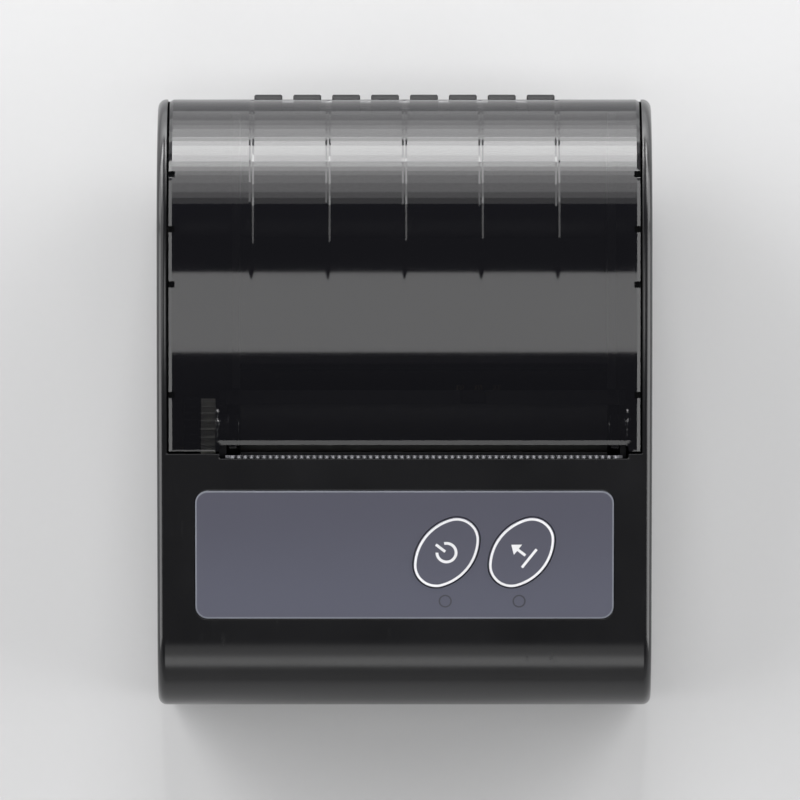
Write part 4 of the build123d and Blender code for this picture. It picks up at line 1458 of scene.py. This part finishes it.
@dataclass
class PaperCover:
    """Smoked lift-up cover with its grooves, side notches, lip, ears and knuckles."""

    facet: float = 0.55
    facet_drop: float = 0.3
    front_facet: float = 0.25
    groove_pitch: float = 12.2
    groove_depth: float = 0.11
    groove_half: float = 0.42
    groove_floor: float = 0.12
    groove_end: float = 17.0
    groove_fade: float = 12.0
    groove_low: float = 24.5
    grooves: int = 5
    notch_rows: Tuple[float, ...] = (0.7, 18.3, 27.1, 35.9)
    lip_width: float = 0.8
    lip_drop: float = 0.28
    front_angle: float = 31.0
    ears: Tuple[float, ...] = (-28.0, 33.0)
    ear_w: float = 1.2
    ear_r: float = 3.2

    def build(self, enclosure: Enclosure) -> None:
        """Builds the cover and its bearings.

        Args:
            enclosure: The enclosure, which makes the knuckles.
        """
        cover = side_outline("cover_shell", 0, PLAN.cover_x - self.facet)
        open_faces(cover, sideways)
        bpy.ops.mesh.inset(thickness=self.facet_drop * MM, depth=self.facet * MM)
        bpy.ops.object.mode_set(mode="OBJECT")
        self.press_grooves(cover)
        cut(cover, side_outline("cavity", PLAN.wall, 45))
        enclosure.shell = twin(cover, "cover_blank")
        keep = block("keep", (-FAR, PLAN.cover_front, 21.9), (FAR, FAR, FAR))
        for x0, x1 in both_sides(PLAN.hinge_end, FAR):
            fuse(keep, block("corner", (x0, PLAN.barrel_y, 20.3), (x1, FAR, 30)))
        common(cover, keep)
        self.cut_front(cover)
        self.cut_notches(cover)
        self.cut_lip(cover)
        fit(smooth(cover, 6), Body.COVER, SMOKED, "paper_cover")
        self.build_ribs()
        parts = [ease(part, 0.1) for part in enclosure.knuckles(0, 0.8)]
        drop(enclosure.shell)
        fit(smooth(join("cover_knuckles", parts)), Body.COVER, KNUCKLE)
        self.build_bearings()

    def press_grooves(self, cover: Piece) -> None:
        """Shallow lengthwise grooves with sloping sides, which fade out towards the front.

        Args:
            cover: The cover's solid outline.
        """
        first = -(self.grooves - 1) / 2
        middles = [(first + step) * self.groove_pitch for step in range(self.grooves)]
        sides = (-self.groove_half, -self.groove_floor, self.groove_floor, self.groove_half)
        slice_across(cover, [x + side for x in middles for side in sides])
        rows: Dict[Tuple[float, float], List[int]] = {}
        for vertex in cover.data.vertices:
            x, y, z = vertex.co / MM
            on_floor = min(abs(x - middle) for middle in middles) < self.groove_floor + 0.05
            if on_floor and y > self.groove_end and z > self.groove_low:
                rows.setdefault((round(y, 2), round(z, 2)), []).append(vertex.index)
        for (y, z), indices in rows.items():
            fade = min(1.0, (y - self.groove_end) / self.groove_fade)
            centre_z = PLAN.barrel_r if y > PLAN.barrel_y else PLAN.crown_z
            inward = Vector((0, PLAN.barrel_y - y, centre_z - z)).normalized()
            unselect(pick(cover))
            for index in indices:
                cover.data.vertices[index].select = True
            bpy.ops.object.mode_set(mode="EDIT")
            bpy.ops.mesh.select_mode(type="VERT")
            bpy.ops.transform.translate(value=inward * self.groove_depth * fade * MM)
            bpy.ops.object.mode_set(mode="OBJECT")

    def cut_front(self, cover: Piece) -> None:
        """Narrow facet along the front edge.

        Args:
            cover: The cover.
        """
        y = PLAN.cover_front + self.front_facet
        at = shift(0, y, PLAN.surface_z(y)) @ rotation(self.front_angle, "X")
        cut(cover, place(block("wedge", (-45, -5, 0), (45, 5, 3)), at))

    def cut_notches(self, cover: Piece) -> None:
        """Small notches along both sides.

        Args:
            cover: The cover.
        """
        for side in (-1, 1):
            for y in self.notch_rows:
                x, z = side * PLAN.cover_x, PLAN.top_z(y)
                cut(cover, block("notch", (x - 1, y - 0.5, z - 1), (x + 1, y + 0.5, z + 1)))

    def cut_lip(self, cover: Piece) -> None:
        """Paper slot with round corners and a wide flare round its lip.

        Args:
            cover: The cover.
        """
        width = PLAN.slot_right - PLAN.slot_left
        middle = (PLAN.slot_left + PLAN.slot_right) / 2
        length, radius = 6.0, 0.7
        slot = plate("slot", width, length, radius, 0, FAR)
        cut(cover, place(slot, shift(middle, PLAN.lip_y - length / 2, 0)))
        flare = plate("flare", width, length, radius, -1.2, -self.lip_drop)
        grow, rise = 2.5 * self.lip_width, 1.25 * self.lip_drop
        open_faces(flare, lambda face: abs(face.normal.z) > 0.9 and face.center.z > -0.7 * MM)
        bpy.ops.mesh.extrude_region_move(TRANSFORM_OT_translate={"value": metres((0, 0, rise))})
        bpy.ops.transform.resize(value=(1 + grow / width, 1 + grow / length, 1))
        bpy.ops.object.mode_set(mode="OBJECT")
        tilt = math.asin((PLAN.barrel_y - PLAN.lip_y) / PLAN.crown_r)
        lip = shift(middle, PLAN.lip_y, PLAN.surface_z(PLAN.lip_y))
        at = lip @ Matrix.Rotation(tilt, 4, "X") @ shift(0, -length / 2, 0)
        cut(cover, place(flare, at))

    def build_ribs(self) -> None:
        """Stiffening skirts inside both edges, and the ears that carry the platen."""
        ribs = []
        y, z, under, half = PLAN.platen_y, PLAN.platen_z, PLAN.wall + 0.01, 40
        for x0, x1 in both_sides(35.8, 37.0):
            skirt = block("skirt", (x0, -7.05, 23), (x1, 44.0, FAR))
            common(skirt, side_outline("band", under, half))
            ribs.append(cut(skirt, side_outline("inside", 6.8, half)))
        for x0 in self.ears:
            x1 = x0 + self.ear_w
            ear = turned("ear", bar(x0, x1, self.ear_r, 0.01), PLATEN_AXIS, 48)
            fuse(ear, block("arm", (x0, y - self.ear_r, z), (x1, y + self.ear_r, 41)))
            common(ear, side_outline("top", under, half))
            hole = turned("hole", bar(x0 - 1, x1 + 1, 2.26, 0.01), PLATEN_AXIS, 48)
            ribs.append(cut(ear, hole))
        fit(smooth(ease(join("cover_ribs", ribs), 0.1)), Body.COVER, SMOKED_RIB)

    def build_bearings(self) -> None:
        """Plain bushings in the ears."""
        bushings = [
            turned("bearing", tube(x0, x1, 1.3, 2.25, 0.2), PLATEN_AXIS, 56)
            for x0, x1 in ((-29.55, -26.55), (32.75, 35.36))
        ]
        fit(join("bearings", bushings), Body.COVER, BEARING, "platen_bearings")


@dataclass
class Platen:
    """Rubber roller, its shaft, gear and retaining clips, whose angles are in degrees."""

    shaft_r: float = 1.25
    rubber_r: float = 3.8
    clip_r: float = 2.9
    clip_bore: float = 1.3
    clip_gap: float = 22.0
    clip_turn: float = 43.0
    clip_lean: float = 37.0

    def build(self) -> None:
        """Builds the roller."""
        sleeve = tube(PLAN.paper_left, PLAN.paper_right, self.shaft_r, self.rubber_r, 0.25)
        fit(turned("roller", sleeve, PLATEN_AXIS, 96), Body.PLATEN, RUBBER, "platen_rubber")
        shaft = turned("roller_shaft", bar(-32.7, 35.7, self.shaft_r, 0.2), PLATEN_AXIS, 48)
        fit(shaft, Body.PLATEN, PLATED, "platen_shaft")
        gear = node_copy("platen_gear", "roller_gear")
        web = [(-33.5, 2.2), (-33.5, 3.35), (-31.9, 3.35), (-31.9, 2.2)]
        cut(gear, turned("web", web, PLATEN_AXIS))
        fit(smooth(ease(gear, 0.05, 1)), Body.PLATEN, GEAR, "platen_gear")
        self.build_clips()

    def build_clips(self) -> None:
        """Spring clips on both ends of the shaft."""
        first = self.clip("roller_clip_left", -30.1)
        second = twin(first, "roller_clip_right", shift(65.5, 0, 0))
        for clip in (first, second):
            fit(clip, Body.PLATEN, SPRING)

    def clip(self, name: str, x: float) -> Piece:
        """Open ring of spring steel with a flat pad at each end.

        Args:
            name: Name of the clip.
            x: Its place along the shaft.

        Returns:
            The clip.
        """
        half, middle = math.radians(self.clip_gap), math.radians(self.clip_turn)
        outer, inner = self.clip_r, self.clip_bore
        pen = Pen(name, (0, outer * math.cos(half), outer * math.sin(half)), (1, 0, 0))
        pen.arc((0, 0, 0), 2 * math.pi - 2 * half, 40)
        pen.line(0, (inner - outer) * math.cos(half), (outer - inner) * math.sin(half))
        pen.arc((0, 0, 0), 2 * half - 2 * math.pi, 30)
        ring = place(ease(pen.pull(0.4, 0, 0), 0.06), rotation(self.clip_turn, "X"))
        pads = []
        for turn in (middle - half, middle + half):
            pad = ease(block("pad", (-0.2, -0.38, -0.3), (0.75, 0.38, 0.12)), 0.04)
            spot = shift(0, outer * math.cos(turn), outer * math.sin(turn))
            pads.append(place(pad, spot @ rotation(-self.clip_lean, "X")))
        join(name, [ring] + pads)
        return smooth(place(ring, shift(x, PLAN.platen_y, PLAN.platen_z)))


@dataclass
class GearTrain:
    """Reduction gear with its axle, and the motor with its shaft and pinion."""

    reduction: Tuple[float, float] = (-6.388, 26.267)
    motor: Tuple[float, float] = (-10.346, 18.824)
    motor_r: float = 6.0
    motor_x0: float = -28.4
    motor_l: float = 15.4

    def build(self) -> None:
        """Builds the gear train."""
        gear = node_copy("reduction_gear", "step_gear")
        fit(smooth(ease(gear, 0.05, 1)), Body.REDUCTION, GEAR_DARK, "reduction_gear")
        # the axle's dark colour is painted shade where a gear hides it
        axle = turned("axle", bar(-35.4, -29.6, 1.0, 0.15), shift(0, *self.reduction), 32)
        fit(axle, Body.HOUSING, AXLE_SHADE, "reduction_axle")
        pinion = node_copy("motor_pinion", "pinion")
        fit(smooth(ease(pinion, 0.04, 1)), Body.ROTOR, BRASS, "motor_pinion")
        shaft = turned("rotor_shaft", bar(-35.4, -29.65, 0.75, 0.12), shift(0, *self.motor), 28)
        fit(shaft, Body.ROTOR, PLATED, "motor_shaft")
        self.build_motor()

    def build_motor(self) -> None:
        """Can-stack motor with rolled seams and a front boss."""
        x0, r, end = self.motor_x0, self.motor_r, self.motor_x0 + self.motor_l
        middle = (x0 + end) / 2
        profile = [
            (-29.6, 0), (-29.6, 2.25), (-29.5, 2.35), (x0, 2.35), (x0, r - 0.3), (x0 + 0.3, r),
            (middle - 0.4, r), (middle - 0.2, r - 0.25), (middle + 0.2, r - 0.25),
            (middle + 0.4, r), (end - 0.3, r), (end, r - 0.3), (end, 2.6), (end - 0.3, 2.3),
            (end - 0.3, 0),
        ]
        fit(turned("motor", profile, shift(0, *self.motor), 72), Body.HOUSING, CAN, "stepper_motor")


@dataclass
class PaperWell:
    """Cradle insert of the paper roll."""

    radius: float = 19.9
    top: float = 30.273
    cheek_w: float = 1.2

    def build(self) -> None:
        """Two cheeks and the curved wall between them."""
        cheeks = []
        start = PLAN.paper_left - self.cheek_w
        for x0 in (start, PLAN.paper_right):
            x1 = x0 + self.cheek_w
            disc = turned("cheek", bar(x0, x1, self.radius, 0.01), BARREL_AXIS, 96)
            common(disc, block("low", (-FAR, -FAR, -1), (FAR, FAR, self.top)))
            arm = block("arm", (x0, 1.8, self.top - 12), (x1, PLAN.barrel_y, self.top))
            cheeks.append(fuse(disc, arm))
        well = fuse(*cheeks)
        wall = tube(start, PLAN.paper_right + self.cheek_w, 20.2, 21.4, 0.01)
        ring = turned("wall", wall, BARREL_AXIS, 128)
        common(ring, block("front", (-FAR, -30, -1), (FAR, PLAN.barrel_y, self.top - 2)))
        fuse(well, ring)
        common(well, side_outline("room", PLAN.wall, PLAN.fin_x))
        cut(well, turned("sweep", bar(-45, 45, 2.8, 0.01), HINGE_AXIS, 40))
        fit(smooth(ease(label(well, "paper_well"), 0.15)), Body.HOUSING, INSERT, "roll_bin")


@dataclass
class Keypad:
    """Overlay film, its border, whose lighter colour is a painted highlight on the film's cut edge,
    the two oval keys with their marks, and the lamps' windows.
    """

    width: float = 66.8
    length: float = 20.9
    radius: float = 2.0
    border: float = 0.25
    top: float = 0.2
    ink_low: float = 0.17
    ink_rise: float = 0.042

    def build(self) -> None:
        """Builds the keypad."""
        edge = self.border
        inside = (self.width - 2 * edge, self.length - 2 * edge, self.radius - edge)
        film = plate("overlay", *inside, -0.45, 0.05)
        # the border's lighter colour is a painted highlight along the film's cut edge
        border = plate("overlay_border_highlight", self.width, self.length, self.radius, -0.45, 0.04)
        cut(border, plate("window", *inside, -1, 1))
        place(film, PLAN.panel(0, PLAN.overlay_y))
        place(border, PLAN.panel(0, PLAN.overlay_y))
        for x in (PLAN.power_x, PLAN.feed_x):
            cut(film, place(oval("hole", 0.15, -2, 2), PLAN.key_place(x)))
        fit(smooth(ease(film, 0.03, 1)), Body.HOUSING, FILM, "keypad_overlay")
        fit(smooth(ease(border, 0.05)), Body.HOUSING, RIM_FILM_HIGHLIGHT)
        self.build_key("power", PLAN.power_x, Body.POWER)
        self.build_key("feed", PLAN.feed_x, Body.FEED)
        self.build_lamps()

    def build_key(self, name: str, x: float, body: Body) -> None:
        """Oval cap with a printed ring and a plain sign.

        Args:
            name: Name of the key.
            x: Its place across the width.
            body: The body it belongs to.
        """
        at = PLAN.key_place(x)
        cap = oval(name + "_cap", 0, -2.1, self.top)
        fuse(cap, block("flange", (-7.15, -2.0, -2.7), (7.15, 2.0, -2.1)))
        ease(cap, 0.12, 3)
        fit(smooth(place(cap, at)), body, KEYCAP, name + "_key")
        ring = oval(name + "_ring", -0.12, self.ink_low, self.ink_low + self.ink_rise)
        fit(smooth(place(cut(ring, oval("inner", -0.5, -1, 1)), at)), body, INK)
        sign = self.power_sign() if body is Body.POWER else self.feed_sign()
        fit(smooth(place(sign, at)), body, INK)
        stem = block(name + "_stem", (-1.5, -1.5, -3.2), (1.5, 1.5, -2.7))
        place(stem, PLAN.panel(x, PLAN.key_y))
        fit(smooth(ease(stem, 0.1)), body, KEYCAP, name + "_plunger")

    def power_sign(self) -> Piece:
        """Broken circle with a bar.

        Returns:
            The sign, flat round the origin.
        """
        low, rise, gap = self.ink_low, self.ink_rise, math.radians(38)
        outer, inner = 1.75, 1.3
        pen = Pen("power_sign", (-outer * math.sin(gap), outer * math.cos(gap), low))
        pen.arc((0, 0, low), 2 * math.pi - 2 * gap, 40)
        pen.line(-(outer - inner) * math.sin(gap), -(outer - inner) * math.cos(gap), 0)
        pen.arc((0, 0, low), -(2 * math.pi - 2 * gap), 40)
        ring = pen.pull(0, 0, rise)
        stroke = block("bar", (-0.22, 0.25, low), (0.22, 2.15, low + rise))
        return join("power_sign", [ring, stroke])

    def feed_sign(self) -> Piece:
        """Arrow that lifts off a sheet's edge.

        Returns:
            The sign, flat round the origin.
        """
        low, rise = self.ink_low, self.ink_rise
        pen = Pen("feed_sign", (-0.22, -0.75, low)).line(0.44, 0, 0).line(0, 1.5, 0)
        pen.line(0.85, 0, 0).line(-1.07, 1.35, 0).line(-1.07, -1.35, 0).line(0.85, 0, 0)
        arrow = pen.pull(0, 0, rise)
        sheet = block("edge", (-1.9, -1.75, low), (1.9, -1.33, low + rise))
        return join("feed_sign", [arrow, sheet])

    def build_lamps(self) -> None:
        """Light guides, lamps, and the faint printed rings over them."""
        for name, x in zip(("power", "feed"), PLAN.lamps_x):
            at = PLAN.panel(x, PLAN.lamps_y) @ upright(0, 0, 0)
            ring = turned(name + "_lamp_ring", bar(0.03, 0.062, 1.05, 0.005), at, 48)
            cut(ring, turned("inside", bar(-1, 1, 0.82, 0.01), at, 48))
            fit(smooth(ring), Body.HOUSING, LENS_RING)
        Refit("lamp_windows", GUIDE, 0.1).build()
        Refit("status_leds", LED, 0.1).build()


@dataclass
class Mechanism:
    """Chassis, tear bar, print head and sensor, with a black strip of painted shade that darkens
    the paper slot.
    """

    parts: Tuple[Refit, ...] = (
        Refit("mechanism_frame", FRAME, 0.12),
        Refit("tear_bar", BLADE, 0.05),
        Refit("paper_sensor", SENSOR, 0.12),
        Refit("head_pivot_rod", PLATED, 0.0),
        Refit("head_springs", PLATED, 0.05),
        Refit("head_carrier", ALLOY, 0.12, Body.HEAD),
        Refit("head_ceramic", CERAMIC, 0.04, Body.HEAD),
    )

    def build(self) -> None:
        """Builds the mechanism; the springs get a mesh of their own."""
        for part in self.parts:
            part.build()
        springs = bpy.data.objects["head_springs_piece"]
        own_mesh(springs)
        # black strip on the head: painted shade that darkens the paper slot over the pale ceramic
        shade_strip = Pen("slot_shade_strip", (PLAN.paper_left + 0.2, -8.4, 36.62), (1, 0, 0))
        shade_strip.line(0, 0, 0.2).line(0, -0.55, 0.3).line(0, -1.9, 0).line(0, 0, -0.5)
        fit(smooth(ease(shade_strip.pull(58.6, 0, 0), 0.06)), Body.HEAD, SLOT_SHADE)
        for index, (x, y) in enumerate(PLAN.feet, 1):
            at = shift(x, y, 14.1) @ rotation(90, "Y")
            fit(screw(f"chassis_screw_{index}", 1.5, 0.8, at), Body.HOUSING, PLATED)


@dataclass
class Electronics:
    """Main board with its parts, the socket and the battery."""

    parts: Tuple[Refit, ...] = (
        Refit("main_board", BOARD, 0.08),
        Refit("board_chips", CHIP, 0.12),
        Refit("radio_module", SHIELD, 0.3),
        Refit("bulk_capacitors", CAP, 0.2),
        Refit("usb_socket", PLATED, 0.1),
        Refit("tactile_switches", SWITCH, 0.15),
        Refit("battery_pack", WRAP, 0.6),
        Refit("battery_contacts", BRASS, 0.15),
    )

    def build(self) -> None:
        """Builds the electronics."""
        for part in self.parts:
            part.build()


def area_lamp(
    name: str, width: float, height: float, radiance: float, place: Point, turn: Point
) -> None:
    """Rectangular lamp that the camera doesn't see, in metres and radians.

    Args:
        name: Name of the lamp.
        width: Size along its X.
        height: Size along its Y.
        radiance: Brightness of its face.
        place: Its middle.
        turn: Its Euler angles; unturned it shines down.
    """
    light = bpy.data.lights.new(name, "AREA")
    light.shape = "RECTANGLE"
    light.size, light.size_y = width, height
    light.energy = radiance * math.pi * width * height
    lamp = bpy.data.objects.new(name, light)
    lamp.location = place
    lamp.rotation_euler = turn
    lamp.visible_camera = False
    bpy.context.collection.objects.link(lamp)


@dataclass(frozen=True)
class Strip:
    """Rectangular soft lamp that faces the object.

    Its bearing is in degrees from the rear, clockwise seen from above, its upper and lower edge
    are in degrees from straight up, and its spread is half its width in degrees.
    """

    name: str
    bearing: float
    upper: float
    lower: float
    radiance: float
    spread: float = 6.5
    reach: float = 1.2

    def build(self) -> None:
        """Makes the lamp."""
        tilt = math.radians((self.upper + self.lower) / 2)
        half = math.radians((self.lower - self.upper) / 2)
        turn = math.radians(self.bearing)
        angles = (math.radians(self.spread), half)
        width, height = (2 * self.reach * math.tan(angle) for angle in angles)
        flat = math.sin(tilt)
        way = Vector((math.sin(turn) * flat, math.cos(turn) * flat, math.cos(tilt)))
        middle = Vector((0, 0, 0.035)) + way * self.reach
        facing = (-way).to_track_quat("-Z", "Y").to_euler()
        area_lamp(self.name, width, height, self.radiance, middle, facing)


def rear_ladder() -> Tuple[Strip, ...]:
    """Rear lamps that stand one on the other, from the horizon up.

    Returns:
        The lamps, numbered from 1.
    """
    edges = (92, 87, 82, 72, 66, 61, 57, 53, 46, 38, 33, 28)
    radiance = (8.5, 12.5, 16.0, 14.0, 10.5, 7.0, 4.8, 3.6, 2.8, 1.7, 0.8)
    rungs = enumerate(zip(edges, edges[1:], radiance), 1)
    return tuple(Strip(f"rear_{i}", 0, upper, lower, power) for i, (lower, upper, power) in rungs)


@dataclass
class Studio:
    """Camera straight above, pale floor and soft lamps.

    The panels are lamps that lie on the floor behind the object and shine up: their edges are
    distances to the rear, in metres. The surround is given at two heights of the view's
    direction, each with its strength.
    """

    height: float = 2.5
    frame_mm: float = 127.9
    focus_z: float = 0.033
    strips: Tuple[Strip, ...] = rear_ladder() + (
        Strip("overhead", 180, 2.8, 12.8, 3.3, 18.0),
        Strip("front_high", 180, 38, 54, 0.8, 13.0),
        Strip("front_low", 180, 54, 68, 2.2, 13.0),
        Strip("rear_left_base", 331, 76, 90, 11, 7.0),
        Strip("rear_right_base", 29, 76, 90, 11, 7.0),
        Strip("rear_left_low", 318, 60, 86, 8.0, 10.0),
        Strip("rear_left_high", 312, 48, 60, 4.0, 10.0),
        Strip("rear_right_low", 42, 60, 80, 7.0, 10.0),
        Strip("rear_right_high", 48, 48, 60, 3.0, 10.0),
        Strip("left_high", 284, 28, 50, 1.9, 20.0),
        Strip("left_front", 259, 55, 92, 3.5, 14.0),
        Strip("left_rear", 292, 55, 92, 3.5, 14.0),
        Strip("right_front", 101, 50, 92, 4.0, 14.0),
        Strip("right_rear", 68, 55, 92, 4.0, 14.0),
    )
    panel_edges: Tuple[float, ...] = (0.08, 0.115, 0.15, 0.2, 1.2)
    panel_radiance: Tuple[float, ...] = (1.0, 2.0, 3.1, 4.6)
    panel_width: float = 0.3
    horizon: Tuple[float, float] = (0.1, 0.5)
    zenith: Tuple[float, float] = (0.65, 0.085)

    def build(self) -> None:
        """Builds the studio."""
        scene = bpy.context.scene
        scene.view_settings.view_transform = "Standard"
        camera = bpy.data.cameras.new("camera")
        camera.sensor_width = 36.0
        camera.lens = 36.0 * (self.height - self.focus_z) / (self.frame_mm * MM)
        camera.clip_start = 0.01
        seat = bpy.data.objects.new("camera", camera)
        seat.location = (-0.72 * MM, -0.08 * MM, self.height)
        bpy.context.collection.objects.link(seat)
        scene.camera = seat
        self.build_floor()
        self.build_world()
        for strip in self.strips:
            strip.build()
        panels = zip(self.panel_edges, self.panel_edges[1:], self.panel_radiance)
        for index, (start, end, radiance) in enumerate(panels, 1):
            middle, length = (0, (start + end) / 2, 0.002), end - start
            area_lamp(
                f"floor_{index}", self.panel_width, length, radiance, middle, (math.pi, 0, 0)
            )
        LOG.info("studio: camera %.3f m up, lens %.1f mm", self.height, camera.lens)

    def build_floor(self) -> None:
        """Floor sheet."""
        clear()
        bpy.ops.mesh.primitive_plane_add(size=8.0, location=(0, 0, 0))
        floor = bpy.context.object
        floor.name = "floor"
        floor.data.materials.append(Paper("floor_paper", "floor").material())

    def build_world(self) -> None:
        """Dim surround, paler near the horizon."""
        world = bpy.data.worlds.new("surround")
        world.use_nodes = True
        nodes, links = world.node_tree.nodes, world.node_tree.links
        background = nodes["Background"]
        where = nodes.new("ShaderNodeTexCoord")
        split = nodes.new("ShaderNodeSeparateXYZ")
        fade = nodes.new("ShaderNodeMapRange")
        fade.interpolation_type = "SMOOTHSTEP"
        pairs = zip(self.horizon, self.zenith)
        for index, value in enumerate((value for pair in pairs for value in pair), 1):
            fade.inputs[index].default_value = value
        links.new(where.outputs["Generated"], split.inputs[0])
        links.new(split.outputs["Z"], fade.inputs[0])
        links.new(fade.outputs[0], background.inputs["Strength"])
        background.inputs["Color"].default_value = (1.0, 1.0, 1.0, 1.0)
        bpy.context.scene.world = world


def main() -> None:
    """Builds the sub-assemblies in order."""
    logging.basicConfig(level=logging.INFO, format="%(name)s %(message)s")
    Studio().build()
    enclosure = Enclosure()
    enclosure.build()
    PaperCover().build(enclosure)
    PaperWell().build()
    Platen().build()
    GearTrain().build()
    Mechanism().build()
    Keypad().build()
    Electronics().build()


if __name__ == "__main__":
    main()
